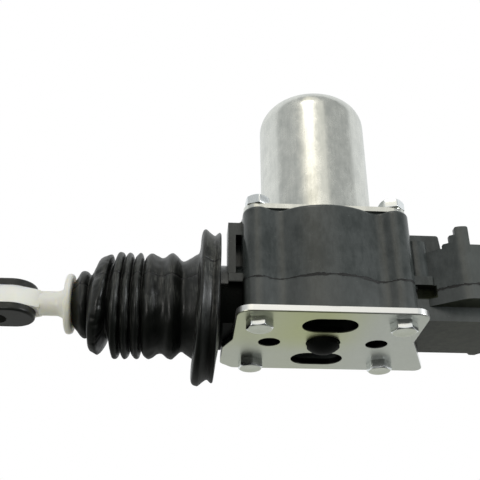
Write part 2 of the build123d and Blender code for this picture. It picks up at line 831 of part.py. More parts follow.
for name, middle in (("magnet_clip_near", -90.0), ("magnet_clip_far", 90.0)):
    with BuildPart() as magnet_clip:
        with BuildSketch(Plane.XY.offset(magnet_bottom_z)):
            clip_inner_radius = magnet_outer_radius - clip_thickness
            add(ring_sector(clip_inner_radius, magnet_outer_radius, middle, clip_arc))
        extrude(amount=magnet_length)
        with BuildSketch(Plane.XY.offset(magnet_bottom_z - clip_thickness)):
            add(
                ring_sector(clip_inner_radius - clip_lip, magnet_outer_radius, middle, clip_arc)
            )
        extrude(amount=clip_thickness)
    magnet_clip.part.label = name
    export_step(magnet_clip.part, f"parts/{name}.step")

# ---------------------------------------------------------------------------------------------
# Motor bearings: two sintered bushes
# ---------------------------------------------------------------------------------------------

top_bush_radius = nose_inner_radius - seat_gap
top_bush_top_z = nose_top_z - can_wall - seat_gap
lower_bush_top_z = case_top_z + spigot_height

with BuildPart() as top_bearing:
    with BuildSketch(Plane.XY.offset(top_bush_top_z)):
        Circle(top_bush_radius)
        Circle(shaft_radius + running_gap, mode=Mode.SUBTRACT)
    extrude(amount=-bush_length)
    chamfer(top_bearing.faces().sort_by(Axis.Z)[0].outer_wire().edges(), 0.5)
top_bearing.part.label = "top_bearing"
export_step(top_bearing.part, "parts/top_bearing.step")

with BuildPart() as lower_bearing:
    with BuildSketch(Plane.XY.offset(lower_bush_top_z)):
        Circle(bush_radius)
        Circle(shaft_radius + running_gap, mode=Mode.SUBTRACT)
    extrude(amount=-bush_length)
    chamfer(lower_bearing.faces().sort_by(Axis.Z)[-1].outer_wire().edges(), 0.4)
lower_bearing.part.label = "lower_bearing"
export_step(lower_bearing.part, "parts/lower_bearing.step")

# ---------------------------------------------------------------------------------------------
# Brush gear: a card on the case's spigot, two boxes, two brushes and their springs
# ---------------------------------------------------------------------------------------------

card_thickness = 1.4
card_slot_spacing = 22.0
card_slot_length = 9.0
card_slot_width = 2.6
card_bottom_z = case_top_z + spigot_height
card_top_z = card_bottom_z + card_thickness
brush_length = 5.0
brush_width = 3.6
brush_height = 3.0
brush_box_wall = 0.4
brush_box_length = 4.0
spring_thickness = 0.3
spring_height = 1.6
spring_post_radius = 0.8
brush_bottom_z = card_top_z + brush_box_wall + seat_gap
brush_middle_z = brush_bottom_z + brush_height / 2
brush_start = commutator_radius + running_gap
brush_end = brush_start + brush_length
box_start = brush_start + 0.6
spring_post_y = 2 * brush_width

with BuildPart() as brush_card:
    with BuildSketch(Plane.XY.offset(card_bottom_z)):
        Circle(can_inner_radius - moulding_gap)
        Circle(bush_radius + 0.6, mode=Mode.SUBTRACT)
        with GridLocations(0, card_slot_spacing, 1, 2):
            SlotOverall(card_slot_length, card_slot_width, mode=Mode.SUBTRACT)
    extrude(amount=card_thickness)
brush_card.part.label = "brush_card"
export_step(brush_card.part, "parts/brush_card.step")

for name, side in (("left", -1), ("right", 1)):
    brush_plane = Plane((0, 0, brush_middle_z), x_dir=(0, 1, 0), z_dir=(side, 0, 0))
    with BuildPart() as brush_box:
        with BuildSketch(brush_plane.offset(box_start)):
            Rectangle(
                brush_width + 2 * (brush_box_wall + seat_gap),
                brush_height + 2 * (brush_box_wall + seat_gap),
            )
            Rectangle(
                brush_width + 2 * seat_gap, brush_height + 2 * seat_gap, mode=Mode.SUBTRACT
            )
        extrude(amount=brush_box_length)
    brush_box.part.label = f"brush_box_{name}"
    export_step(brush_box.part, f"parts/brush_box_{name}.step")

    with BuildPart() as brush:
        with BuildSketch(brush_plane.offset(brush_start - 1.0)):
            Rectangle(brush_width, brush_height)
        extrude(amount=brush_length + 1.0)
        with BuildSketch(Plane.XY.offset(brush_bottom_z - 1.0)):
            Circle(brush_start)
        extrude(amount=brush_height + 2.0, mode=Mode.SUBTRACT)
    brush.part.label = f"brush_{name}"
    export_step(brush.part, f"parts/brush_{name}.step")

    spring_x = side * (brush_end + seat_gap + spring_thickness / 2)
    with BuildPart() as brush_spring:
        with BuildSketch(Plane.XY.offset(brush_middle_z - spring_height / 2)):
            with BuildLine():
                FilletPolyline(
                    (spring_x, -brush_width / 2),
                    (spring_x, brush_width / 2 + 1.0),
                    (spring_x - side * 1.4, spring_post_y),
                    radius=1.2,
                )
            trace(line_width=spring_thickness)
        extrude(amount=spring_height)
        with BuildSketch(Plane.XY.offset(card_top_z)):
            with Locations((spring_x - side * 1.4, spring_post_y)):
                Circle(spring_post_radius)
        extrude(amount=brush_middle_z + spring_height / 2 - card_top_z)
    brush_spring.part.label = f"brush_spring_{name}"
    export_step(brush_spring.part, f"parts/brush_spring_{name}.step")

# ---------------------------------------------------------------------------------------------
# Armature: shaft, laminated core, windings and commutator
# ---------------------------------------------------------------------------------------------

shaft_bottom_z = 14.4
shaft_top_z = top_bush_top_z - 0.6
armature_slots = 5
slot_bottom = 5.4
slot_top = 10.2
slot_mouth = 1.6
stator_tooth = 3.0
winding_gap = 0.15
end_turn_height = 3.6
end_turn_inner = 3.0
end_turn_outer = 10.4
core_top_z = core_bottom_z + core_length
half_sector = radians(180.0 / armature_slots)


def slot_half_width(radius):
    """Half the width of a winding slot at a distance from the axis, between parallel teeth."""
    return radius * tan(half_sector) - stator_tooth / 2 / cos(half_sector)


with BuildSketch() as core_slot:
    Polygon(
        (slot_bottom, -slot_half_width(slot_bottom)),
        (slot_top, -slot_half_width(slot_top)),
        (slot_top, slot_half_width(slot_top)),
        (slot_bottom, slot_half_width(slot_bottom)),
        align=None,
    )

with BuildSketch() as slot_filling:
    add(core_slot.sketch)
    offset(amount=-winding_gap, mode=Mode.REPLACE)

with BuildPart() as armature_shaft:
    with BuildSketch(Plane.XY.offset(shaft_bottom_z)):
        Circle(shaft_radius)
    extrude(amount=shaft_top_z - shaft_bottom_z)
    chamfer(armature_shaft.faces().sort_by(Axis.Z)[-1].edges(), 0.4)
    chamfer(armature_shaft.faces().sort_by(Axis.Z)[0].edges(), 0.4)
armature_shaft.part.label = "armature_shaft"
export_step(armature_shaft.part, "parts/armature_shaft.step")

with BuildPart() as armature_core:
    with BuildSketch(Plane.XY.offset(core_bottom_z)):
        Circle(core_radius)
        Circle(shaft_radius, mode=Mode.SUBTRACT)
        with PolarLocations(0, armature_slots):
            add(core_slot.sketch, mode=Mode.SUBTRACT)
            with Locations((core_radius, 0)):
                Rectangle(2 * (core_radius - slot_top) + 0.2, slot_mouth, mode=Mode.SUBTRACT)
    extrude(amount=core_length)
armature_core.part.label = "armature_core"
export_step(armature_core.part, "parts/armature_core.step")

with BuildPart() as armature_windings:
    with BuildSketch(axis_plane) as end_turns:
        with Locations(
            (end_turn_inner, core_top_z), (end_turn_inner, core_bottom_z - end_turn_height)
        ):
            Rectangle(
                end_turn_outer - end_turn_inner, end_turn_height, align=(Align.MIN, Align.MIN)
            )
        fillet(
            corners_at(
                end_turns,
                (end_turn_outer, core_top_z + end_turn_height),
                (end_turn_outer, core_bottom_z - end_turn_height),
            ),
            end_turn_height / 2,
        )
    revolve(axis=Axis.Z)
    with BuildSketch(Plane.XY.offset(core_bottom_z - end_turn_height / 2)):
        with PolarLocations(0, armature_slots):
            add(slot_filling.sketch)
    extrude(amount=core_length + end_turn_height)
armature_windings.part.label = "armature_windings"
export_step(armature_windings.part, "parts/armature_windings.step")

with BuildPart() as commutator:
    with BuildSketch(Plane.XY.offset(commutator_bottom_z)):
        Circle(commutator_radius)
        Circle(shaft_radius, mode=Mode.SUBTRACT)
        with PolarLocations(commutator_radius, armature_slots):
            Rectangle(1.2, 0.5, mode=Mode.SUBTRACT)
    extrude(amount=commutator_length)
commutator.part.label = "commutator"
export_step(commutator.part, "parts/commutator.step")

# ---------------------------------------------------------------------------------------------
# Centrifugal clutch: a two-armed hub on the motor's shaft, and two shoes hung from its pins
# ---------------------------------------------------------------------------------------------

hub_radius = 5.0
arm_thickness = 1.6
arm_bottom_z = shoe_bottom_z - shoe_lift - arm_thickness
arm_end_radius = 2.6
pin_stand = 0.4  # of each pin above its shoe
pin_top_z = shoe_bottom_z + shoe_height + pin_stand
shoe_outer_radius = drum_radius - drum_wall - shoe_gap
shoe_ends = 1.2

with BuildPart() as clutch_hub:
    with BuildSketch(Plane.XY.offset(arm_bottom_z)):
        Circle(hub_radius)
        with PolarLocations(0, 2, start_angle=shoe_pivot_angle):
            Polygon(
                (0, -hub_radius * 0.8),
                (shoe_pivot_radius, -arm_end_radius),
                (shoe_pivot_radius, arm_end_radius),
                (0, hub_radius * 0.8),
                align=None,
            )
        with PolarLocations(shoe_pivot_radius, 2, start_angle=shoe_pivot_angle):
            Circle(arm_end_radius)
        Circle(shaft_radius, mode=Mode.SUBTRACT)
    extrude(amount=arm_thickness)
    with BuildSketch(Plane.XY.offset(arm_bottom_z)):
        Circle(hub_radius)
        Circle(shaft_radius, mode=Mode.SUBTRACT)
    extrude(amount=pin_top_z - arm_bottom_z)
    with BuildSketch(Plane.XY.offset(arm_bottom_z)):
        with PolarLocations(shoe_pivot_radius, 2, start_angle=shoe_pivot_angle):
            Circle(shoe_pin_radius)
    extrude(amount=pin_top_z - arm_bottom_z)
clutch_hub.part.label = "clutch_hub"
export_step(clutch_hub.part, "parts/clutch_hub.step")

for number, turn in enumerate((0.0, 180.0), start=1):
    with BuildPart() as clutch_shoe:
        with BuildSketch(Plane.XY.offset(shoe_bottom_z)) as shoe_plan:
            shoe_middle = turn + (shoe_start + shoe_end) / 2
            add(
                ring_sector(
                    shoe_inner_radius, shoe_outer_radius, shoe_middle, shoe_end - shoe_start
                )
            )
            fillet(shoe_plan.vertices(), shoe_ends)
            with PolarLocations(shoe_pivot_radius, 1, start_angle=turn + shoe_pivot_angle):
                Circle(shoe_pin_radius + running_gap, mode=Mode.SUBTRACT)
        extrude(amount=shoe_height)
    clutch_shoe.part.label = f"clutch_shoe_{number}"
    export_step(clutch_shoe.part, f"parts/clutch_shoe_{number}.step")

# ---------------------------------------------------------------------------------------------
# Clutch drum and pinion, one moulding: a cup above an involute pinion and its journal
# ---------------------------------------------------------------------------------------------

base_radius = pitch_radius * cos(radians(pressure_angle))
tip_radius = pitch_radius + addendum * tooth_module
root_radius = pitch_radius - dedendum * tooth_module
pinion_bottom_z = channel_bottom_z + 0.2
drum_hub_radius = 4.4
flank_points = 5


def involute(angle):
    """The involute function of a pressure angle in radians."""
    return tan(angle) - angle


def flank_point(radius, side):
    """A point on the flank of the tooth that points along +X, on its left (1) or right (-1)."""
    at_pitch = pi / (2 * pinion_teeth) - backlash / 2 / pitch_radius
    base = at_pitch + involute(radians(pressure_angle))
    angle = side * (base - involute(acos(min(1.0, base_radius / radius))))
    return (radius * cos(angle), radius * sin(angle))


def flank(side):
    """Points up one flank, from the base circle to the tip."""
    step = (tip_radius - base_radius) / (flank_points - 1)
    return [flank_point(base_radius + i * step, side) for i in range(flank_points)]


with BuildSketch() as pinion_tooth:
    with BuildLine():
        foot = root_radius * 0.96 / base_radius
        left = Spline(*flank(1))
        right = Spline(*flank(-1))
        ThreePointArc(left @ 1, (tip_radius, 0), right @ 1)
        Line(left @ 0, (left @ 0) * foot)
        Line(right @ 0, (right @ 0) * foot)
        Line((left @ 0) * foot, (right @ 0) * foot)
    make_face()

with BuildPart() as drum_pinion:
    with BuildSketch(Plane.XY.offset(pinion_bottom_z)):
        Circle(root_radius)
        with PolarLocations(0, pinion_teeth):
            add(pinion_tooth.sketch)
    extrude(amount=drum_bottom_z - pinion_bottom_z)
    with BuildSketch(Plane.XY.offset(journal_bottom_z)):
        Circle(journal_radius)
    extrude(amount=pinion_bottom_z - journal_bottom_z)
    with BuildSketch(axis_plane) as drum_profile:
        with BuildLine():
            Polyline(
                (0, drum_bottom_z),
                (drum_radius, drum_bottom_z),
                (drum_radius, drum_top_z),
                (drum_radius - drum_wall, drum_top_z),
                (drum_radius - drum_wall, drum_bottom_z + drum_floor),
                (0, drum_bottom_z + drum_floor),
                close=True,
            )
        make_face()
        fillet(corners_at(drum_profile, (drum_radius, drum_bottom_z)), 1.4)
        fillet(corners_at(drum_profile, (drum_radius - drum_wall, drum_bottom_z + drum_floor)), 0.6)
    revolve(axis=Axis.Z)
    # blind bearing for the motor shaft's end
    with BuildSketch(Plane.XY.offset(shaft_bottom_z - 0.3)):
        Circle(shaft_radius + running_gap)
    extrude(amount=drum_top_z, mode=Mode.SUBTRACT)
drum_pinion.part.label = "drum_pinion"
export_step(drum_pinion.part, "parts/drum_pinion.step")

# ---------------------------------------------------------------------------------------------
# Rod and rack, one nylon moulding: eye, neck, disc, boot groove, rod, toothed frame and tail
# ---------------------------------------------------------------------------------------------

rack_tooth_half = tooth_pitch / 4 - backlash / 2
flank_slope = tan(radians(pressure_angle))
rack_root_y = pitch_radius + dedendum * tooth_module
rack_tip_y = pitch_radius - addendum * tooth_module
eye_cheek = 3.6  # from the end of the eye's straight to where its sides run in to the neck
rod_shoulder = 1.0

with BuildPart() as rack_rod:
    # turned part of the moulding
    with BuildSketch(rod_plane) as rod_profile:
        with BuildLine():
            Polyline(
                (neck_start_x, 0),
                (neck_start_x, neck_radius),
                (disc_left_x, neck_radius),
                (disc_left_x, disc_radius),
                (disc_right_x, disc_radius),
                (disc_right_x, groove_radius),
                (groove_end_x, groove_radius),
                (groove_end_x, collar_radius),
                (collar_end_x, collar_radius),
                (collar_end_x, rod_radius),
                (rack_front_x + 1.0, rod_radius),
                (rack_front_x + 1.0, 0),
                close=True,
            )
        make_face()
        fillet(corners_at(rod_profile, (neck_start_x, neck_radius)), rod_shoulder)
        fillet(corners_at(rod_profile, (disc_left_x, neck_radius)), disc_blend)
        disc_edge = (disc_right_x - disc_left_x) * 0.4
        fillet(
            corners_at(rod_profile, (disc_left_x, disc_radius), (disc_right_x, disc_radius)), disc_edge
        )
        fillet(corners_at(rod_profile, (collar_end_x, collar_radius)), 0.8)
    revolve(axis=rod_axis)
    # eye
    with BuildSketch(Plane.XY.offset(rod_z - eye_thickness / 2)):
        with Locations((eye_x, 0)):
            SlotCenterToCenter(2 * eye_half_straight, 2 * eye_outer_radius)
        cheek_x = eye_x + eye_half_straight + eye_cheek
        cheek_half = sqrt(eye_outer_radius**2 - eye_cheek**2)
        neck_half = neck_radius - rod_shoulder / 3
        Polygon(
            (cheek_x, -cheek_half),
            (neck_start_x + rod_shoulder, -neck_half),
            (neck_start_x + rod_shoulder, neck_half),
            (cheek_x, cheek_half),
            align=None,
        )
        with Locations((eye_x, 0)):
            SlotCenterToCenter(2 * eye_half_straight, 2 * eye_hole_radius, mode=Mode.SUBTRACT)
    extrude(amount=eye_thickness)
    # toothed frame round the pinion, and the tail that guides it
    with BuildSketch(Plane.XY.offset(rack_bottom_z)) as frame_plan:
        with Locations((rack_front_x, 0)):
            Rectangle(rack_back_x - rack_front_x, rack_width, align=(Align.MIN, Align.CENTER))
        fillet(frame_plan.vertices(), 1.2)
        with Locations((window_front_x, window_near_y)):
            Rectangle(
                window_back_x - window_front_x,
                rack_root_y - window_near_y,
                align=(Align.MIN, Align.MIN),
                mode=Mode.SUBTRACT,
            )
        fillet(
            corners_at(
                frame_plan,
                (window_front_x, window_near_y),
                (window_back_x, window_near_y),
            ),
            window_corner,
        )
        with Locations((tooth_pitch / 2, 0)):
            with GridLocations(tooth_pitch, 0, rack_teeth, 1):
                Polygon(
                    (-rack_tooth_half - dedendum * flank_slope, rack_root_y + 0.2),
                    (-rack_tooth_half - dedendum * flank_slope, rack_root_y),
                    (-rack_tooth_half + addendum * flank_slope, rack_tip_y),
                    (rack_tooth_half - addendum * flank_slope, rack_tip_y),
                    (rack_tooth_half + dedendum * flank_slope, rack_root_y),
                    (rack_tooth_half + dedendum * flank_slope, rack_root_y + 0.2),
                    align=None,
                )
    extrude(amount=rack_height)
    with BuildSketch(Plane.YZ.offset(rack_back_x - 1.0)) as tail_face:
        with Locations((0, rod_z)):
            RectangleRounded(tail_width, tail_height, 0.8)
    extrude(amount=tail_end_x - rack_back_x + 1.0)
    chamfer(rack_rod.faces().sort_by(Axis.X)[-1].edges(), 0.8)
rack_rod.part.label = "rack_rod"
export_step(rack_rod.part, "parts/rack_rod.step")

with BuildPart() as eye_grommet:
    with BuildSketch(Plane.XY.offset(rod_z - eye_thickness / 2 - grommet_flange)):
        with Locations((eye_x, 0)):
            SlotCenterToCenter(2 * eye_half_straight, 2 * grommet_radius)
    extrude(amount=grommet_flange)
    fillet(eye_grommet.faces().sort_by(Axis.Z)[0].edges(), grommet_round)
    with BuildSketch(Plane.XY.offset(rod_z + eye_thickness / 2)):
        with Locations((eye_x, 0)):
            SlotCenterToCenter(2 * eye_half_straight, 2 * grommet_radius)
    extrude(amount=grommet_flange)
    fillet(eye_grommet.faces().sort_by(Axis.Z)[-1].edges(), grommet_round)
    with BuildSketch(Plane.XY.offset(rod_z - eye_thickness / 2)):
        with Locations((eye_x, 0)):
            SlotCenterToCenter(2 * eye_half_straight, 2 * (eye_hole_radius - seat_gap))
    extrude(amount=eye_thickness)
    with BuildSketch(Plane.XY.offset(rod_z - eye_thickness)):
        with Locations((eye_x, 0)):
            Circle(grommet_bore / 2)
    extrude(amount=2 * eye_thickness, mode=Mode.SUBTRACT)
eye_grommet.part.label = "eye_grommet"
export_step(eye_grommet.part, "parts/eye_grommet.step")

# ---------------------------------------------------------------------------------------------
# Rubber stops at the two ends of the rack channel
# ---------------------------------------------------------------------------------------------

bumper_height = channel_top_z - channel_bottom_z - 2 * seat_gap
bumper_width = 2 * (channel_half - seat_gap)

with BuildPart() as front_bumper:
    with BuildSketch(Plane.YZ.offset(channel_front_x + seat_gap)):
        with Locations((0, rod_z)):
            RectangleRounded(bumper_width, bumper_height, 1.0)
            Circle(rod_radius + slide_gap, mode=Mode.SUBTRACT)
    extrude(amount=bumper_thickness)
front_bumper.part.label = "front_bumper"
export_step(front_bumper.part, "parts/front_bumper.step")

with BuildPart() as back_bumper:
    with BuildSketch(Plane.YZ.offset(channel_back_x - seat_gap)):
        with Locations((0, rod_z)):
            RectangleRounded(bumper_width, bumper_height, 1.0)
            Rectangle(
                tail_width + 2 * slide_gap, tail_height + 2 * slide_gap, mode=Mode.SUBTRACT
            )
    extrude(amount=-bumper_thickness)
back_bumper.part.label = "back_bumper"
export_step(back_bumper.part, "parts/back_bumper.step")

# ---------------------------------------------------------------------------------------------
# Circuit breaker and terminals
# ---------------------------------------------------------------------------------------------

with BuildPart() as circuit_breaker:
    with BuildSketch(Plane.XY.offset(parting_z + seat_gap)):
        with Locations((breaker_x + moulding_gap, breaker_y)):
            Rectangle(breaker_length, breaker_width, align=(Align.MIN, Align.CENTER))
    extrude(amount=breaker_height)
    chamfer(circuit_breaker.edges().filter_by(Axis.Z), 0.5)
circuit_breaker.part.label = "circuit_breaker"
export_step(circuit_breaker.part, "parts/circuit_breaker.step")

blade_start_x = breaker_x + breaker_length + 2 * moulding_gap + 0.3
blade_bevel = 1.4

for number, side in enumerate((-1, 1), start=1):
    with BuildPart() as terminal:
        with BuildSketch(Plane.XZ.offset(-socket_middle_y - side * blade_spacing / 2)) as blade:
            with Locations((blade_start_x, socket_middle_z)):
                Rectangle(
                    tunnel_end_x + blade_reach - blade_start_x,
                    blade_width,
                    align=(Align.MIN, Align.CENTER),
                )
            chamfer(blade.vertices().sort_by(Axis.X)[-2:], blade_bevel)
        extrude(amount=blade_thickness / 2, both=True)
    terminal.part.label = f"terminal_{number}"
    export_step(terminal.part, f"parts/terminal_{number}.step")

# ---------------------------------------------------------------------------------------------
# Boot: a rubber bellows with a lipped flange, seated on the snout and in the rod's groove
# ---------------------------------------------------------------------------------------------

boot_flange_left_x = -38.6
boot_flange_right_x = -32.2
boot_lip_radius = 24.0
boot_groove_radius = 22.1
boot_back_lip_radius = 23.1
boot_waist_x = -43.0
boot_waist_radius = 13.8
boot_cone_radius = 16.2
fold_peaks = [
    (-67.4, 15.0),
    (-62.6, 16.2),
    (-59.7, 16.2),
    (-56.6, 16.2),
    (-52.7, 16.0),
    (-46.0, 16.2),
]
fold_valleys = [(-65.2, 12.2), (-61.1, 13.9), (-58.1, 13.9), (-55.0, 13.9), (-49.6, 14.4)]
boot_tip_x = disc_right_x + 0.1
boot_tip_radius = 6.8
bead_x = -72.7
bead_radius = 10.0
bead_valley_x = -70.9
bead_valley_radius = 8.8
fold_round = 0.7

outer_line = [
    (boot_tip_x, boot_tip_radius),
    (bead_x, bead_radius),
    (bead_valley_x, bead_valley_radius),
]
for peak, valley in zip(fold_peaks, fold_valleys):
    outer_line += [peak, valley]
outer_line += [
    fold_peaks[-1],
    (boot_waist_x, boot_waist_radius),
    (boot_flange_left_x + 0.6, boot_cone_radius),
]
inner_line = [(x, r - boot_wall) for x, r in outer_line[3:-1]]

with BuildPart() as boot:
    with BuildSketch(rod_plane) as boot_profile:
        with BuildLine():
            Polyline(
                *outer_line,
                (boot_flange_left_x, boot_lip_radius - 2.0),
                (boot_flange_left_x + 1.2, boot_lip_radius),
                (boot_flange_left_x + 4.2, boot_groove_radius),
                (boot_flange_right_x - 0.6, boot_back_lip_radius),
                (boot_flange_right_x, boot_back_lip_radius - 1.6),
                (boot_flange_right_x, snout_radius + moulding_gap),
                (snout_end_x, snout_radius + moulding_gap),
                *reversed(inner_line),
                (bead_valley_x + 0.3, collar_radius + moulding_gap),
                (groove_end_x - moulding_gap, collar_radius + moulding_gap),
                (groove_end_x - moulding_gap, groove_radius + moulding_gap),
                (boot_tip_x, groove_radius + moulding_gap),
                close=True,
            )
        make_face()
        fillet(corners_at(boot_profile, *fold_peaks), fold_round)
        fillet(corners_at(boot_profile, (bead_x, bead_radius)), fold_round)
    revolve(axis=rod_axis)
boot.part.label = "boot"
export_step(boot.part, "parts/boot.step")
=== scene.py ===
# %% [markdown]
# # Door latch actuator
# A door latch actuator is a small motor on a plastic case. Inside, a clutch and a pinion drive a
# rack, and the rack's nylon rod comes out through a rubber bellows, called the boot, to pull on
# the latch.
#
# Blender counts in metres, and so do the lamps, the floor and the screws here. Finishes and the
# boot's profile are written in millimetres, because that is how one reads a part of this size.
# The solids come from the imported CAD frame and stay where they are. This file gives them their
# finishes, and models what a machine drawing leaves plain: the soft rubber boot and the screws'
# heads.

from math import cos, degrees, pi, radians, sin, tan

import bmesh
import bpy
from mathutils import Matrix, Vector, noise


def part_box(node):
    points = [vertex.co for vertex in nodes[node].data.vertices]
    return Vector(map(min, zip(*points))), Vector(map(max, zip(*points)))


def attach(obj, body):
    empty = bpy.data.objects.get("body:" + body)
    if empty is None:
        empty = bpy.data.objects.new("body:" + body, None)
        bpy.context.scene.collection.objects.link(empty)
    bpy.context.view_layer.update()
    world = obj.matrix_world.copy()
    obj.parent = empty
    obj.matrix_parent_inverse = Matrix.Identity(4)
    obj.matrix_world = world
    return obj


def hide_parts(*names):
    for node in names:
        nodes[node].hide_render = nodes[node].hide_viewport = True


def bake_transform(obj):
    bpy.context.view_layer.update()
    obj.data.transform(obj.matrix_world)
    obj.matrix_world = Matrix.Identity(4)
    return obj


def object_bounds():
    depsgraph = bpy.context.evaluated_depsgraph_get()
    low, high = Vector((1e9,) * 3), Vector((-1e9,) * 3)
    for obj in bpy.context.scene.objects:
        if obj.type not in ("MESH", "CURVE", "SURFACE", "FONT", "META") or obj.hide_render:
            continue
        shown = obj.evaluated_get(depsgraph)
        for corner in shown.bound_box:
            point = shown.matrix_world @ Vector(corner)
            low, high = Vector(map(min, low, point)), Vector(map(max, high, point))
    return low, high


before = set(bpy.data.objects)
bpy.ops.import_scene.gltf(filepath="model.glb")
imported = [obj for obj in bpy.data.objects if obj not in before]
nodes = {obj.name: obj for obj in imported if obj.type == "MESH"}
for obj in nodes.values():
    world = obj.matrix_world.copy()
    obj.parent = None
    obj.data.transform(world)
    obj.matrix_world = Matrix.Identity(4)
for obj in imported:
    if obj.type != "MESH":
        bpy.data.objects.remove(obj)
cad_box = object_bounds()
MM = 0.001
box_in_mm = [[round(value / MM, 1) for value in corner] for corner in cad_box]
print("nodes:", len(nodes), "box in mm:", box_in_mm)

# %% [markdown]
# ## Camera
# The camera looks up from a little below, so that the mounting plate shows its face. It could be
# aimed with a Track To constraint at an empty. Three turns are plainer here: about the vertical,
# then up, then about its own line of sight. Each is a number that can be changed by itself.

# %% Camera
camera_place = Vector((-42.357, -229.768, -90.876)) * MM
camera_yaw = radians(-4.281)
camera_tilt = radians(28.65)
camera_roll = radians(0.3485)
camera_lens, sensor_width = 60.866, 36.0  # both in millimetres
nearest_seen = 0.01  # metres

turn = (
    Matrix.Rotation(camera_yaw, 4, "Z")
    @ Matrix.Rotation(camera_tilt, 4, "X")
    @ Matrix.Rotation(camera_roll, 4, "Y")
)
look_along_y = Matrix.Rotation(pi / 2, 4, "X")  # a camera looks along its own -Z
camera_data = bpy.data.cameras.new("camera")
camera_data.lens = camera_lens
camera_data.sensor_width = sensor_width
camera_data.clip_start = nearest_seen
camera = bpy.data.objects.new("camera", camera_data)
camera.matrix_world = Matrix.Translation(camera_place) @ turn @ look_along_y
bpy.context.scene.collection.objects.link(camera)
bpy.context.scene.camera = camera
bpy.context.scene.view_settings.view_transform = "Standard"  # white stays white
print("camera's distance in mm:", round(camera_place.length / MM))

# %% [markdown]
# ## Writing shader maths as Python
# A finish is a tree of nodes. Drawing one by hand is quick to look at and slow to change, so here
# a small class wraps a socket, and Python's operators on it add the Math nodes. `1 - mask` and
# `height * 0.5 + grain` then read like the sums they are.

# %% The socket class
class Value:
    """One socket of a node tree. Operators on it add Math nodes."""

    def __init__(self, tree, socket):
        self.tree = tree
        self.socket = socket

    def math(self, operation, *values):
        return self.tree.node("ShaderNodeMath", {"operation": operation}, dict(enumerate(values)))

    def __add__(self, other):
        return self.math("ADD", self, other)

    def __radd__(self, other):
        return self.math("ADD", other, self)

    def __sub__(self, other):
        return self.math("SUBTRACT", self, other)

    def __rsub__(self, other):
        return self.math("SUBTRACT", other, self)

    def __mul__(self, other):
        return self.math("MULTIPLY", self, other)

    def __rmul__(self, other):
        return self.math("MULTIPLY", other, self)

    def __truediv__(self, other):
        return self.math("DIVIDE", self, other)

    def __rtruediv__(self, other):
        return self.math("DIVIDE", other, self)

    def unsigned(self):
        return self.math("ABSOLUTE", self)

    def root(self):
        return self.math("SQRT", self)

    def step(self, low, high):
        """0 below low, 1 above high, smooth between them. With low above high it falls."""
        sockets = {"Value": self, "From Min": low, "From Max": high}
        return self.tree.node("ShaderNodeMapRange", {"interpolation_type": "SMOOTHSTEP"}, sockets)


# %% [markdown]
# ## One method for every node
# Each kind of node has its own names for its settings and sockets. A method that takes the kind,
# the settings and the sockets' values makes any of them, in the shader editor and in Geometry
# Nodes alike. A socket's value is a number, or another node's Value, which is then linked.

# %% The tree class
COLOUR_A, COLOUR_B, COLOUR_OUT = 6, 7, 2  # the colour sockets of a Mix node


def colour_of(value):
    """A colour as the nodes want it: a socket, or three numbers and full alpha."""
    return value if isinstance(value, Value) else (*value, 1.0)


class Tree:
    """A node tree in the making."""

    def __init__(self, tree):
        self.tree = tree
        tree.nodes.clear()

    def node(self, kind, settings=None, sockets=None, output=0):
        made = self.tree.nodes.new(kind)
        for name, setting in (settings or {}).items():
            setattr(made, name, setting)
        for name, value in (sockets or {}).items():
            if isinstance(value, Value):
                self.tree.links.new(value.socket, made.inputs[name])
            else:
                made.inputs[name].default_value = value
        return Value(self, made.outputs[output]) if len(made.outputs) else None

    def mix(self, factor, first, second):
        """A colour between two colours."""
        sockets = {"Factor": factor, COLOUR_A: colour_of(first), COLOUR_B: colour_of(second)}
        return self.node("ShaderNodeMix", {"data_type": "RGBA"}, sockets, COLOUR_OUT)

    def split(self, vector):
        """The three numbers of a vector."""
        made = self.tree.nodes.new("ShaderNodeSeparateXYZ")
        self.tree.links.new(vector.socket, made.inputs[0])
        return [Value(self, out) for out in made.outputs]

    def join(self, x, y, z):
        return self.node("ShaderNodeCombineXYZ", {}, {0: x, 1: y, 2: z})


# %% [markdown]
# ## What every finish starts from
# A pattern needs coordinates that stay with the piece. UV maps would need unwrapping, and these
# solids sit where they belong, so Object coordinates do, counted in millimetres. The object's own
# normal tells a top from an underside, where dust and light don't reach.

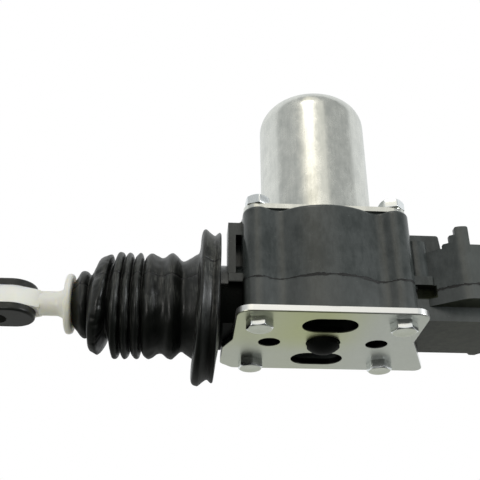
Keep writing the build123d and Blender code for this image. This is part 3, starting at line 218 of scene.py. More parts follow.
# %% The finish class
class Finish(Tree):
    """A material in the making."""

    def __init__(self, name):
        self.material = bpy.data.materials.new(name)
        self.material.use_nodes = True
        super().__init__(self.material.node_tree)
        in_metres = self.node("ShaderNodeTexCoord", output="Object")
        scaled = {0: in_metres, "Scale": 1 / MM}
        self.place = self.node("ShaderNodeVectorMath", {"operation": "SCALE"}, scaled)
        self.x, self.y, self.z = self.split(self.place)
        # 1 where a face looks up and -1 where it looks down
        self.up = self.split(self.node("ShaderNodeTexCoord", output="Normal"))[2]

    def noise(self, size, detail=2.0, stretch=None, rough=0.5):
        """Soft random patches from 0 to 1, so many millimetres wide and drawn out by a stretch."""
        where = self.place
        if stretch:
            drawn_out = {0: where, 1: stretch}
            where = self.node("ShaderNodeVectorMath", {"operation": "DIVIDE"}, drawn_out)
        sockets = {"Vector": where, "Scale": 1 / size, "Detail": detail, "Roughness": rough}
        return self.node("ShaderNodeTexNoise", {}, sockets)

    def bump(self, height, depth, strength=1.0):
        """A normal from a height of 0 to 1 that stands for so many millimetres."""
        sockets = {"Height": height, "Distance": depth * MM, "Strength": strength}
        return self.node("ShaderNodeBump", {}, sockets)

    def shader(self, **sockets):
        """A Principled shader. Names are written with _ for a space."""
        named = {name.replace("_", " "): value for name, value in sockets.items()}
        named["Base Color"] = colour_of(named["Base Color"])
        return self.node("ShaderNodeBsdfPrincipled", {}, named)

    def blend(self, factor, first, second):
        """One shader where the factor is 0 and the other where it is 1."""
        return self.node("ShaderNodeMixShader", {}, {0: factor, 1: first, 2: second})

    def end(self, surface):
        self.node("ShaderNodeOutputMaterial", {}, {"Surface": surface})
        return self.material

    def close(self, **sockets):
        """Ends the tree in one Principled shader."""
        return self.end(self.shader(**sockets))


def distance(across, along):
    """How far a place is from an axis, from its two distances to it."""
    return (across * across + along * along).root()


# %% [markdown]
# ## Light
# Polished metal shows its surroundings more than itself. A drawn steel can in a white room would
# be white all over, so the room here is a small studio: white at the back and sides, two grey
# panels towards the front, and a warm lamp between them. Panels could be planes in the scene, but
# those would stand in the way of another view. So the room is a function of the direction, in the
# world's shader.

# %% The room
ROOM_WHITE, ROOM_GREY = (0.82, 0.84, 0.84), (0.10, 0.11, 0.10)
ROOM_WARM, ROOM_GROUND = (1.02, 0.98, 0.86), (0.17, 0.175, 0.165)
WHITE = (1.0, 1.0, 1.0)


def build_room():
    world = bpy.data.worlds.new("studio")
    world.use_nodes = True
    bpy.context.scene.world = world
    room = Tree(world.node_tree)
    x, y, z = room.split(room.node("ShaderNodeTexCoord", output="Generated"))
    # degrees round the object, 0 at the front and positive to the right: a pair of steps is a panel
    around = x.math("ARCTAN2", x, y * -1) * degrees(1.0)
    grey_left = around.step(-92, -86) * around.step(-18, -40)
    grey_right = around.step(18, 24) * around.step(90, 78)
    lamp = around.step(-40, -18) * (around.step(4, -8) * 0.55 + around.step(25, 18) * 0.45)
    panels = (grey_left * 0.42 + grey_right * 0.52) * z.step(-0.35, 0.1)
    warm_lamp = lamp * z.step(-0.05, 0.3)
    ground = z.step(0.05, -0.5) * 0.85
    colour = room.mix(panels, ROOM_WHITE, ROOM_GREY)
    colour = room.mix(warm_lamp, colour, ROOM_WARM)
    colour = room.mix(ground, colour, ROOM_GROUND)
    straight_to_camera = room.node("ShaderNodeLightPath", output="Is Camera Ray")
    colour = room.mix(straight_to_camera, colour, WHITE)
    light = room.node("ShaderNodeBackground", {}, {"Color": colour, "Strength": 1.0})
    room.node("ShaderNodeOutputWorld", {}, {"Surface": light})


build_room()
print("room: two grey panels and a warm lamp in a white studio")

# %% [markdown]
# ## Lamps
# The room alone lights softly and leaves black plastic flat. A broad key lamp from the front and
# above gives the tops their sheen, a small cold one rims the right side, and a very small one
# warms the rod, which would otherwise stand in the boot's shade. Disk lamps make round,
# soft-edged highlights.

# %% Lamps
# Each row: name, place, what it aims at, width, power in watts, colour. Lengths are in metres.
lamps = [
    ("key_lamp", (-0.13, -0.54, 0.62), (0, 0, 0.02), 0.30, 0.4, (1.0, 0.97, 0.92)),
    ("side_lamp", (0.45, -0.30, 0.02), (0, 0, 0.02), 0.16, 1.3, (0.95, 0.98, 1.0)),
    ("rod_lamp", (-0.15, -0.13, -0.05), (-0.09, 0, 0.011), 0.05, 0.07, (1.0, 0.98, 0.94)),
]
for name, place, target, width, power, colour in lamps:
    data = bpy.data.lights.new(name, "AREA")
    data.shape = "DISK"
    data.size = width
    data.energy = power
    data.color = colour
    lamp = bpy.data.objects.new(name, data)
    aim = (Vector(target) - Vector(place)).to_track_quat("-Z", "Y")
    lamp.matrix_world = Matrix.Translation(place) @ aim.to_matrix().to_4x4()
    bpy.context.scene.collection.objects.link(lamp)
print("lamps:", [name for name, *_ in lamps])

# %% [markdown]
# ## Floor
# The actuator hangs over a plain pale floor. The eye sees the floor pale all over, and the metal
# mirrors it darker in front and brighter behind, as a sheet of paper that curves up from a dark
# table would be. A Light Path node tells the two apart, so the plate has something to reflect.

# %% The floor
floor_z = -0.16
floor_half = 1.5
FLOOR_PALE, FLOOR_DARK, FLOOR_BRIGHT = (0.86, 0.86, 0.85), (0.10, 0.10, 0.10), (0.88, 0.88, 0.86)

corner_signs = [(-1, -1), (1, -1), (1, 1), (-1, 1)]
corners = [(x * floor_half, y * floor_half, floor_z) for x, y in corner_signs]
floor_mesh = bpy.data.meshes.new("floor")
floor_mesh.from_pydata(corners, [], [(0, 1, 2, 3)])
floor = bpy.data.objects.new("floor", floor_mesh)
bpy.context.scene.collection.objects.link(floor)
pale = Finish("pale_floor")
mirrored = pale.mix(pale.y.step(40.0, 170.0), FLOOR_DARK, FLOOR_BRIGHT)
seen = pale.node("ShaderNodeLightPath", output="Is Camera Ray")
floor_colour = pale.mix(seen, mirrored, FLOOR_PALE)
floor_mesh.materials.append(pale.close(Base_Color=floor_colour, Roughness=0.9))
print("floor at:", floor_z)

# %% [markdown]
# ## Zinc on the can
# The can is deep drawn from steel and then zinc plated: fine upright lines from the draw die,
# cloudy patches from the plating bath, a few specks, and rubs from other cans in the bin. Noise
# at four scales, stretched upwards where the die drew it, gives all of them without an image.

# %% Zinc on the can
def zinc_can():
    f = Finish("zinc_can")
    clouds = f.noise(9.0, 4.0, rough=0.6)
    blooms = f.noise(3.2, 4.0, stretch=(1.0, 1.0, 1.8), rough=0.65)
    drawn = f.noise(0.9, 3.0, stretch=(1.0, 1.0, 26.0))
    specks = f.noise(0.55, 1.0).step(0.70, 0.78)
    rubs = f.noise(1.4, 3.0, stretch=(1.0, 1.0, 5.0), rough=0.6).step(0.60, 0.72)
    tone = clouds * 0.4 + blooms * 0.4 + drawn * 0.2
    zinc = f.mix(tone.step(0.30, 0.70), (0.60, 0.61, 0.58), (0.84, 0.84, 0.79))
    colour = f.mix(specks * 0.18 + rubs * 0.12, zinc, (0.42, 0.42, 0.40))
    rough = 0.13 + clouds * 0.10 + blooms.step(0.35, 0.65) * 0.10 + specks * 0.12
    height = drawn * 0.3 + f.noise(3.0, 2.0) * 0.3 + blooms * 0.4
    return f.close(
        Base_Color=colour, Metallic=1.0, Roughness=rough, Normal=f.bump(height, 0.05, 0.7)
    )


can_zinc = zinc_can()
print("finish:", can_zinc.name)

# %% [markdown]
# ## Zinc on the plate
# The plate is flat strip, so its lines run along it. Its passivation has left an olive cast on the
# near left and grey elsewhere. Its rim is painted near white as a painted highlight, and the holes'
# walls near black as painted shade. Both are told by the place alone: every hole lies nearer the
# middle than any stretch of the rim.

# %% Zinc on the plate
HOLES_REACH = 20.3  # no open hole reaches further from the middle, and no edge comes nearer
FACE_TO_RIM = (0.15, 0.45)  # the heights over which the face gives way to its rounded edge


def olive_cast(f, clouds):
    """Where the passivation is yellow: along the near left, fading to the right and the back."""
    along = f.x.step(16.0, -2.0) * (1 - f.x.step(-8.0, -22.0) * 0.4)
    near = 0.25 + f.y.step(10.0, -6.0) * 0.75
    return along * near * (0.75 + clouds * 0.25)


def zinc_plate():
    f = Finish("zinc_plate")
    clouds = f.noise(7.0, 4.0, rough=0.6)
    mottle = f.noise(1.3, 3.0, rough=0.6)
    rolled = f.noise(0.7, 2.0, stretch=(18.0, 1.0, 1.0))
    tone = clouds * 0.6 + mottle * 0.4
    grey = f.mix(tone, (0.40, 0.42, 0.38), (0.54, 0.56, 0.52))
    olive = f.mix(tone, (0.39, 0.42, 0.20), (0.48, 0.51, 0.27))
    holes = distance(f.x, f.y).step(HOLES_REACH + 0.3, HOLES_REACH - 0.3)
    # painted highlight: the rim near white; painted shade: the holes' walls near black
    edge_highlight_and_hole_shade = f.mix(holes, (0.96, 0.96, 0.95), (0.03, 0.03, 0.03))
    face = f.mix(olive_cast(f, clouds), grey, olive)
    colour = f.mix(f.z.step(*FACE_TO_RIM), face, edge_highlight_and_hole_shade)
    rough = 0.24 + clouds * 0.12 + rolled * 0.06
    height = rolled * 0.4 + clouds * 0.3 + mottle * 0.3
    return f.close(
        Base_Color=colour, Metallic=1.0, Roughness=rough, Normal=f.bump(height, 0.02, 0.4)
    )


plate_zinc = zinc_plate()
print("finish:", plate_zinc.name)

# %% [markdown]
# ## Zinc on the screws
# Screws are plated in a barrel, brighter and bluer than the pressings, and they knock small marks
# into each other. Their ends that look down are painted darker and olive, a painted reflection of
# the plate they face, so the sides and the ends differ.

# %% Zinc on the screws
def zinc_screw():
    f = Finish("zinc_screw")
    clouds = f.noise(1.6, 2.0)
    marks = f.noise(0.25, 2.0).step(0.62, 0.75)
    sides = f.mix(clouds, (0.78, 0.82, 0.84), (0.94, 0.95, 0.95))
    # painted reflection: faces looking down take the plate's olive tone, darker than the sides
    plate_reflection_on_ends = f.mix(clouds, (0.42, 0.44, 0.37), (0.54, 0.56, 0.50))
    colour = f.mix(f.up.step(-0.80, -0.95), sides, plate_reflection_on_ends)
    rough = 0.14 + clouds * 0.12 + marks * 0.2
    height = clouds * 0.7 + marks * 0.3
    return f.close(
        Base_Color=colour, Metallic=1.0, Roughness=rough, Normal=f.bump(height, 0.03, 0.7)
    )


screw_zinc = zinc_screw()
print("finish:", screw_zinc.name)

# %% [markdown]
# ## Where shade is painted on the case
# The case is glass-filled nylon, black with a soft sheen. Its pockets and undersides get painted
# shade: little light gets there, and a near-black shader stands in for it. Ambient occlusion would
# find such places; here each pocket is a box of steps in the case's own coordinates, 1 inside and 0
# outside.

# %% Where shade is painted on the case
def case_shade(f):
    """Painted shade: 1 in the snout's mouth, the latch's pocket, the slots' bottoms and under the
    case.
    """
    snout = f.x.step(-24.6, -25.6) * f.z.step(13.6, 12.8)
    latch_across = f.y.step(-15.4, -14.6)
    latch_along = f.x.step(26.8, 27.2) * f.x.step(33.0, 32.6)
    latch_up = f.z.step(9.4, 9.9) * f.z.step(13.8, 13.4)
    latch = latch_across * (latch_along * latch_up)
    slots = distance(f.x, f.y).step(18.5, 17.5) * f.z.step(9.5, 8.5)
    # the plate takes the light from the body's underside, but not from the connector's
    shade = f.up.step(-0.4, -0.9) * (0.70 + f.x.step(30.0, 24.0) * 0.20)
    for pocket in (snout, latch, slots):
        shade = shade.math("MAXIMUM", shade, pocket)
    return shade


# %% [markdown]
# ## The case's plastic
# The glass shows as clouds where the melt flowed, scuffs catch on the crests, and the two halves
# meet in a thin, ragged line. A texture of that line would need an image. Here it is the height
# over the parting plane, pushed up and down by noise, and its width varies along the way.

# %% The case's plastic
PARTING_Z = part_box("lower_case")[1].z / MM
LINE_WANDER, LINE_HALF_WIDTH, LINE_WIDENS = 1.3, 0.20, 0.42
LINE_BLACK = (0.003, 0.003, 0.003)


def parting_line(f):
    """1 in the line where the two halves of the case meet."""
    wander = (f.noise(2.6, 5.0, rough=0.8) - 0.5) * LINE_WANDER
    off_line = (f.z - PARTING_Z + wander).unsigned()
    width = LINE_HALF_WIDTH + f.noise(3.5, 2.0).step(0.4, 0.65) * LINE_WIDENS
    return (off_line / width).step(1.0, 0.6)


def case_plastic():
    f = Finish("case_plastic")
    patches = f.noise(9.0, 4.0, rough=0.65)
    grain = f.noise(0.35, 3.0)
    flow = f.noise(2.4, 4.0, stretch=(1.0, 1.0, 2.5), rough=0.7)
    scuffs = f.noise(1.1, 4.0, stretch=(1.0, 1.0, 0.35), rough=0.7).step(0.62, 0.78)
    tone = patches * 0.5 + flow * 0.5
    connector_end = f.x.step(36.0, 44.0) * 0.45
    lower_half = f.z.step(PARTING_Z, PARTING_Z - 1.0) * 0.3
    groove = parting_line(f)
    colour = f.mix(tone.step(0.32, 0.68), (0.022, 0.028, 0.027), (0.064, 0.072, 0.071))
    colour = f.mix(connector_end, colour, (0.105, 0.115, 0.110))
    colour = f.mix(lower_half, colour, (0.095, 0.10, 0.098))
    colour = f.mix(scuffs * 0.5, colour, (0.14, 0.145, 0.14))
    colour = f.mix(groove, colour, LINE_BLACK)
    rough = 0.18 + patches * 0.12 + scuffs * 0.06 + groove * 0.4
    height = grain * 0.3 + flow * 0.4 + patches * 0.3 - groove * 3.0
    normal = f.bump(height, 0.08, 0.8)
    # painted shade: the body is painted nearly black where little light gets, and the connector's
    # end an olive, mottled dark
    shade_tone = f.mix(tone.step(0.35, 0.65), (0.022, 0.026, 0.012), (0.050, 0.056, 0.030))
    shade_tone = f.mix(f.x.step(24.0, 36.0), (0.004, 0.005, 0.004), shade_tone)
    lit = f.shader(Base_Color=colour, Roughness=rough, Specular_IOR_Level=0.55, Normal=normal)
    # painted shade: a darker, barely glossy copy of the plastic, blended in where case_shade is 1
    shaded = f.shader(Base_Color=shade_tone, Roughness=0.6, Specular_IOR_Level=0.06, Normal=normal)
    return f.end(f.blend(case_shade(f), lit, shaded))


black_plastic = case_plastic()
print("finish:", black_plastic.name, "parting line at", round(PARTING_Z, 2))

# %% [markdown]
# ## The boot's rubber
# The boot is matt black rubber that keeps dust on its crests and grime in the flange's gutter,
# where fingers don't wipe it. The light grey on the crests is partly that dust and partly a painted
# sheen, and lies only on faces that don't look down. The mould has left a seam along both sides.
# The patterns are measured round the rod's axis, so they follow the folds. Undersides get painted
# shade, as under the case.

# %% The boot's rubber
BOOT_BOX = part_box("boot")
ROD_Z = (BOOT_BOX[0].z + BOOT_BOX[1].z) / 2 / MM
SEAM_ANGLE = radians(13.0)  # above the near side
CREST_RADII = (13.6, 16.2)  # from the bottom of a fold to its top


def boot_rubber():
    f = Finish("boot_rubber")
    across = f.z - ROD_Z
    streaks = f.noise(0.55, 4.0, stretch=(0.5, 5.0, 5.0), rough=0.6)
    patches = f.noise(5.0, 3.0)
    grime = f.noise(1.3, 4.0, rough=0.7)
    crest = distance(f.y, across).step(*CREST_RADII)
    open_side = f.up.step(-0.8, 0.0)
    # dust and painted sheen: lighter on the crests and only on faces that don't look down
    dust_and_sheen = (crest * 0.7 + 0.3) * streaks.step(0.42, 0.68) * patches.step(0.35, 0.65) * open_side
    gutter = f.x.step(-36.6, -35.4) * f.x.step(-32.8, -34.0) * grime.step(0.42, 0.62) * open_side
    off_seam = (across * cos(SEAM_ANGLE) + f.y * sin(SEAM_ANGLE)).unsigned()
    seam = off_seam.step(0.45, 0.20) * grime.step(0.30, 0.45)
    colour = f.mix(patches, (0.003, 0.004, 0.003), (0.010, 0.011, 0.010))
    colour = f.mix(dust_and_sheen * 0.8, colour, (0.11, 0.115, 0.105))
    colour = f.mix(gutter * 0.5, colour, (0.08, 0.08, 0.068))
    colour = f.mix(seam, colour, (0.002, 0.002, 0.002))
    rough = 0.30 + patches * 0.14 + dust_and_sheen * 0.2
    normal = f.bump(streaks * 0.5 + f.noise(0.4, 2.0) * 0.5 - seam * 1.5, 0.07, 0.8)
    lit = f.shader(Base_Color=colour, Roughness=rough, Specular_IOR_Level=0.45, Normal=normal)
    # painted shade: a near-black, barely glossy copy on the undersides
    shaded = f.shader(
        Base_Color=(0.003, 0.004, 0.003), Roughness=0.6, Specular_IOR_Level=0.08, Normal=normal
    )
    return f.end(f.blend(f.up.step(-0.15, -0.8) * 0.85, lit, shaded))


boot_finish = boot_rubber()
print("finish:", boot_finish.name, "rod's axis at", round(ROD_Z, 2))

# %% [markdown]
# ## The rubber of the grommet and the stops
# These are small, clean and smoother than the boot, with faint rubs along the rod. The same two
# shaders, one for the open sides and one of painted shade for the undersides, keep them in the
# family of the boot.

# %% The rubber of the grommet and the stops
def plain_rubber():
    f = Finish("plain_rubber")
    patches = f.noise(3.0, 3.0)
    rubs = f.noise(1.0, 3.0, stretch=(4.0, 1.0, 1.0), rough=0.6).step(0.55, 0.72)
    colour = f.mix(patches, (0.008, 0.009, 0.008), (0.020, 0.021, 0.019))
    colour = f.mix(rubs * 0.3, colour, (0.06, 0.062, 0.056))
    rough = 0.30 + patches * 0.15
    normal = f.bump(f.noise(0.5, 3.0), 0.05, 0.5)
    lit = f.shader(Base_Color=colour, Roughness=rough, Specular_IOR_Level=0.4, Normal=normal)
    # painted shade: a near-black, barely glossy copy on the undersides
    shaded = f.shader(
        Base_Color=(0.005, 0.006, 0.005), Roughness=0.5, Specular_IOR_Level=0.15, Normal=normal
    )
    return f.end(f.blend(f.up.step(-0.2, -0.8) * 0.75, lit, shaded))


rubber = plain_rubber()
print("finish:", rubber.name)

# %% [markdown]
# ## Natural nylon
# The rod is nylon with no colour added: milky, yellower where it is thick. Light gets a little
# way in, and a plain white shader would look like chalk, so the Principled shader's subsurface
# part is used.

# %% Natural nylon
NYLON_IOR = 1.53
LIGHT_REACH = 0.002  # how far light gets into it, in metres


def natural_nylon():
    f = Finish("natural_nylon")
    patches = f.noise(6.0, 2.0)
    under = (f.z - ROD_Z).step(2.0, -6.0) * 0.6
    milk = f.mix(patches, (0.80, 0.80, 0.755), (0.90, 0.90, 0.85))
    return f.close(
        Base_Color=f.mix(under, milk, (0.86, 0.855, 0.70)),
        Roughness=0.34 + patches * 0.12,
        Subsurface_Weight=0.5,
        Subsurface_Radius=(1.0, 0.9, 0.6),
        Subsurface_Scale=LIGHT_REACH,
        IOR=NYLON_IOR,
        Normal=f.bump(f.noise(1.5, 3.0), 0.03, 0.4),
    )


nylon = natural_nylon()
print("finish:", nylon.name)

# %% [markdown]
# ## Finishes of the pieces inside
# The motor, clutch and pinion show only when the case is opened. Each finish is one base colour
# broken up by patches of the right scale, so one short function makes them all from a table of
# plain facts.

# %% Inner finishes
def inner_finish(name, dark, light, patch, rough, metallic=0.0, stretch=None):
    f = Finish(name)
    patches = f.noise(patch, 3.0, stretch=stretch)
    return f.close(
        Base_Color=f.mix(patches, dark, light),
        Metallic=metallic,
        Roughness=rough - 0.08 + patches * 0.16,
        Normal=f.bump(patches, 0.03, 0.6),
    )


STACKED = (20.0, 20.0, 1.0)  # patches drawn out across the axis, as the armature's sheets lie
# Each row: its dark and light tones, the width of its patches in millimetres, its roughness, and
# where they apply, how metallic it is and how its patches are drawn out.
inner_facts = {
    "ferrite": ((0.02, 0.02, 0.021), (0.05, 0.05, 0.052), 0.8, 0.6),
    "spring_steel": ((0.40, 0.41, 0.42), (0.58, 0.59, 0.6), 0.6, 0.3, 1.0),
    "sintered_bronze": ((0.36, 0.22, 0.10), (0.60, 0.40, 0.20), 0.3, 0.5, 1.0),
    "phenolic_card": ((0.20, 0.10, 0.04), (0.34, 0.19, 0.09), 1.2, 0.5),
    "brass_strip": ((0.62, 0.47, 0.20), (0.80, 0.65, 0.34), 1.5, 0.3, 1.0),
    "carbon_block": ((0.03, 0.03, 0.03), (0.07, 0.07, 0.07), 0.3, 0.55),
    "laminated_steel": ((0.22, 0.22, 0.23), (0.48, 0.48, 0.49), 0.5, 0.4, 1.0, STACKED),
    "ground_steel": ((0.45, 0.45, 0.46), (0.62, 0.62, 0.63), 0.4, 0.25, 1.0),
    "copper_wire": ((0.48, 0.17, 0.06), (0.76, 0.36, 0.16), 0.35, 0.35, 1.0),
    "acetal": ((0.70, 0.70, 0.66), (0.80, 0.80, 0.77), 4.0, 0.4),
    "breaker_case": ((0.16, 0.04, 0.03), (0.24, 0.07, 0.05), 2.0, 0.5),
}
inner = {name: inner_finish(name, *facts) for name, facts in inner_facts.items()}
print("inner finishes:", len(inner))

# %% [markdown]
# ## Each solid and its finish
# A CAD solid arrives with one plain material. Its own finish takes that one's place, found by the
# start of the solid's name, because numbered and left-and-right pieces share one finish.

# %% Give each solid its finish
# The first row that a name starts with holds, so a longer start comes before a shorter one.
finish_by_start = {
    "motor_can": can_zinc,
    "mounting_plate": plate_zinc,
    "lower_case": black_plastic,
    "upper_case": black_plastic,
    "socket_shroud": black_plastic,
    "boot": boot_finish,
    "eye_grommet": rubber,
    "front_bumper": rubber,
    "back_bumper": rubber,
    "rack_rod": nylon,
    "plate_screw": screw_zinc,
    "motor_screw": screw_zinc,
    "drum_pinion": inner["acetal"],
    "clutch_hub": inner["acetal"],
    "clutch_shoe": inner["ground_steel"],
    "armature_shaft": inner["ground_steel"],
    "armature_core": inner["laminated_steel"],
    "armature_windings": inner["copper_wire"],
    "commutator": inner["copper_wire"],
    "magnet_clip": inner["spring_steel"],
    "magnet": inner["ferrite"],
    "top_bearing": inner["sintered_bronze"],
    "lower_bearing": inner["sintered_bronze"],
    "brush_card": inner["phenolic_card"],
    "brush_spring": inner["spring_steel"],
    "brush_box": inner["brass_strip"],
    "brush": inner["carbon_block"],
    "terminal": inner["brass_strip"],
    "circuit_breaker": inner["breaker_case"],
}


def finish_for(name):
    return next(finish for start, finish in finish_by_start.items() if name.startswith(start))


for name, node in nodes.items():
    node.data.materials.clear()
    node.data.materials.append(finish_for(name))
print("finishes on solids:", len({finish_for(name).name for name in nodes}))

# %% [markdown]
# ## One hexagon screw
# All eight screws are hexagon head tapping screws, cold headed: the top is dished, its rim is
# turned down where the corners would be, and every edge is a little soft. A six-sided cylinder
# primitive has no such rim. A skin through rings of points has it, because each ring's radius and
# height may follow the angle, so the hexagon and the round rim meet as they do on a real head.

# %% Rings of points and a skin through them
def ring(radius_at, height_at, count):
    """Points round the axis. A radius or a height is a number, or a function of the angle."""
    points = []
    for i in range(count):
        angle = 2 * pi * i / count
        radius = radius_at(angle) if callable(radius_at) else radius_at
        height = height_at(angle) if callable(height_at) else height_at
        points.append((radius * cos(angle), radius * sin(angle), height))
    return points


def loft(name, rings):
    """A closed skin through rings of equal count, from the first to the last."""
    count = len(rings[0])
    points = [point for one in rings for point in one]
    faces = []
    for level in range(len(rings) - 1):
        low, high = level * count, (level + 1) * count
        for i in range(count):
            j = (i + 1) % count
            faces.append((low + i, low + j, high + j, high + i))
    faces.append(tuple(reversed(range(count))))
    faces.append(tuple(range(len(points) - count, len(points))))
    mesh = bpy.data.meshes.new(name)
    mesh.from_pydata(points, [], faces)
    mesh.update()
    return mesh


# %% [markdown]
# ## The screw's outline
# Each pair below is a radius and a height, from the shank's tip to the middle of the dish. Where
# one of them follows the angle, it is a function. The dish, the tip and the soft edge are shares
# of the screw's own sizes, so that a larger screw keeps its looks.

# %% One hexagon screw
HEX_SIDES, STEPS_PER_SIDE = 6, 6
DISH_SHARE, DISH_FLOOR, DISH_DEPTH = 0.69, 0.8, 0.04  # of the rim, the dish and the head's height
TIP_SHARE, TIP_LENGTH = 0.45, 1.6  # both of the shank's radius
EDGE_SHARE, EDGE_STEPS = 0.022, 2  # the share is of the width across flats


def hexagon_screw(across_flats, head_height, shank_radius, shank_length, rim_share, rim_slope):
    """A screw with its head along +Z from the origin and its shank along -Z."""
    side_angle = 2 * pi / HEX_SIDES
    flat = across_flats / 2
    rim = flat * rim_share
    dish = rim * DISH_SHARE

    def hexagon(angle):
        return flat / cos((angle + side_angle / 2) % side_angle - side_angle / 2)

    def under_rim(angle):
        return head_height - (hexagon(angle) - rim) * tan(radians(rim_slope))

    outline = [
        (shank_radius * TIP_SHARE, -shank_length),
        (shank_radius, -shank_length + shank_radius * TIP_LENGTH),
        (shank_radius, 0.0),
        (hexagon, 0.0),
        (hexagon, under_rim),
        (rim, head_height),
        (dish, head_height),
        (dish * DISH_FLOOR, head_height - head_height * DISH_DEPTH),
    ]
    rings = [ring(radius, height, HEX_SIDES * STEPS_PER_SIDE) for radius, height in outline]
    screw = bpy.data.objects.new("hexagon_screw", loft("hexagon_screw", rings))
    bpy.context.scene.collection.objects.link(screw)
    soft = screw.modifiers.new("soft_edges", "BEVEL")
    soft.width = across_flats * EDGE_SHARE
    soft.segments = EDGE_STEPS
    soft.limit_method = "ANGLE"
    soft.angle_limit = radians(20)
    return screw

# %% [markdown]
# ## Four screws by Geometry Nodes
# The screws stand at the corners of a rectangle, once under the plate and once on the motor's
# flange. An Array modifier twice over would do it, but every head would face the same way.
# Geometry Nodes put a copy on each point of a two by two grid, and turn each by its row and
# column, as a fitter leaves them. The tree's inputs are the sizes, so one tree serves both
# groups. It ends in Realize Instances and Set Material, because an export keeps meshes only.

# %% The tree that sets four screws
def grid_tree():
    """Copies of an object at the corners of a rectangle, at a height, upright or upside down."""
    kinds = {"Screw": "Object", "Finish": "Material"}
    for name in ("Spacing X", "Spacing Y", "Height", "Turn Over", "Turn", "Twist X", "Twist Y"):
        kinds[name] = "Float"
    nodes_of_grid = bpy.data.node_groups.new("screws_at_corners", "GeometryNodeTree")
    face = nodes_of_grid.interface
    for name, kind in kinds.items():
        face.new_socket(name, in_out="INPUT", socket_type="NodeSocket" + kind)
    face.new_socket("Geometry", in_out="OUTPUT", socket_type="NodeSocketGeometry")

    tree = Tree(nodes_of_grid)
    given = {name: tree.node("NodeGroupInput", output=name) for name in kinds}
    sizes = {"Size X": given["Spacing X"], "Size Y": given["Spacing Y"]}
    grid = tree.node("GeometryNodeMeshGrid", {}, {"Vertices X": 2, "Vertices Y": 2, **sizes})
    lift = tree.join(0.0, 0.0, given["Height"])
    corners = tree.node("GeometryNodeSetPosition", {}, {"Geometry": grid, "Offset": lift})
    # the corners are counted along Y first: the column is half the index, the row its remainder
    index = tree.node("GeometryNodeInputIndex")
    column = index.math("FLOOR", index / 2.0)
    row = index.math("MODULO", index, 2.0)
    facing = column * given["Twist X"] + row * given["Twist Y"] + given["Turn"]
    turned = tree.join(given["Turn Over"], 0.0, facing)
    screw = tree.node("GeometryNodeObjectInfo", {}, {"Object": given["Screw"]}, "Geometry")
    places = {"Points": corners, "Instance": screw, "Rotation": turned}
    placed = tree.node("GeometryNodeInstanceOnPoints", {}, places)
    real = tree.node("GeometryNodeRealizeInstances", {}, {"Geometry": placed})
    to_paint = {"Geometry": real, "Material": given["Finish"]}
    finished = tree.node("GeometryNodeSetMaterial", {}, to_paint)
    tree.node("NodeGroupOutput", {}, {"Geometry": finished})
    return nodes_of_grid


screws_tree = grid_tree()
print("inputs:", [item.name for item in screws_tree.interface.items_tree])

# %% [markdown]
# ## From a tree to a plain mesh
# So the modifier's inputs are set, the object is evaluated once, the result is copied, and the
# modifier goes. An input is set by its socket's identifier, because names may repeat.

# %% From a tree to a plain mesh
def run_tree(name, tree, values):
    """The mesh that a tree makes, as an object at the origin."""
    holder = bpy.data.objects.new(name, bpy.data.meshes.new(name + "_start"))
    bpy.context.scene.collection.objects.link(holder)
    modifier = holder.modifiers.new("nodes", "NODES")
    modifier.node_group = tree
    for item in tree.interface.items_tree:
        if item.in_out == "INPUT":
            modifier[item.identifier] = values[item.name]
    depsgraph = bpy.context.evaluated_depsgraph_get()
    mesh = bpy.data.meshes.new_from_object(holder.evaluated_get(depsgraph), depsgraph=depsgraph)
    holder.modifiers.clear()
    holder.data = mesh
    mesh.name = name
    return holder

# %% [markdown]
# ## Both groups of screws
# The solids say where the screws stand and how large they are, so those sizes are read from their
# boxes. Only what a box doesn't show is typed: the shank, the turned rim and how the heads face.

# %% Both groups of screws
SHANK_RADIUS = 2.1 * MM
MOTOR_SHANK = 15.0 * MM
SHARP_EDGE = radians(34)


def middle(node):
    low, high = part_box(node)
    return (low + high) / 2


plate_low, plate_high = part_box("plate_screw_1")
motor_low, motor_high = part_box("motor_screw_1")
screw_spacing = middle("plate_screw_4") - middle("plate_screw_1")
head_flats = plate_high.y - plate_low.y
flange_top = motor_low.z + MOTOR_SHANK

# seat: where the heads' undersides are. facing: degrees of turn for all, more for the right column,
# more for the back row. rim: its share of the hexagon's half width, and how steeply it falls away.
screw_groups = {
    "plate_screws": dict(
        seat=0.0,
        head=-plate_low.z,
        shank=plate_high.z,
        turned_over=pi,
        facing=(16.0, 4.0, -8.0),
        rim=(0.96, 30),
    ),
    "motor_screws": dict(
        seat=flange_top,
        head=motor_high.z - flange_top,
        shank=MOTOR_SHANK,
        turned_over=0.0,
        facing=(5.0, 9.0, 4.5),
        rim=(0.82, 36),
    ),
}
for name, group in screw_groups.items():
    one = hexagon_screw(head_flats, group["head"], SHANK_RADIUS, group["shank"], *group["rim"])
    turn, twist_x, twist_y = (radians(angle) for angle in group["facing"])
    values = {
        "Screw": one,
        "Finish": screw_zinc,
        "Spacing X": screw_spacing.x,
        "Spacing Y": screw_spacing.y,
        "Height": group["seat"],
        "Turn Over": group["turned_over"],
        "Turn": turn,
        "Twist X": twist_x,
        "Twist Y": twist_y,
    }
    screws = run_tree(name, screws_tree, values)
    for polygon in screws.data.polygons:
        polygon.use_smooth = True
    screws.data.set_sharp_from_angle(angle=SHARP_EDGE)
    bpy.data.objects.remove(one)
    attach(screws, "housing")
    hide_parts(*[f"{name[:-1]}_{number}" for number in (1, 2, 3, 4)])
    print(name, "faces:", len(screws.data.polygons))

# %% [markdown]
# ## The boot
# The boot is one moulding of soft rubber: a thin tip that snaps into the rod's groove, a bellows
# whose folds lean and differ because the rubber has aged, a cone, and a double-lipped flange that
# seals in the door's panel. It starts from a profile, as a turned shape would. The profile is a
# closed loop, down the outside and back up the inside, so the skin round it is closed and has no
# poles.

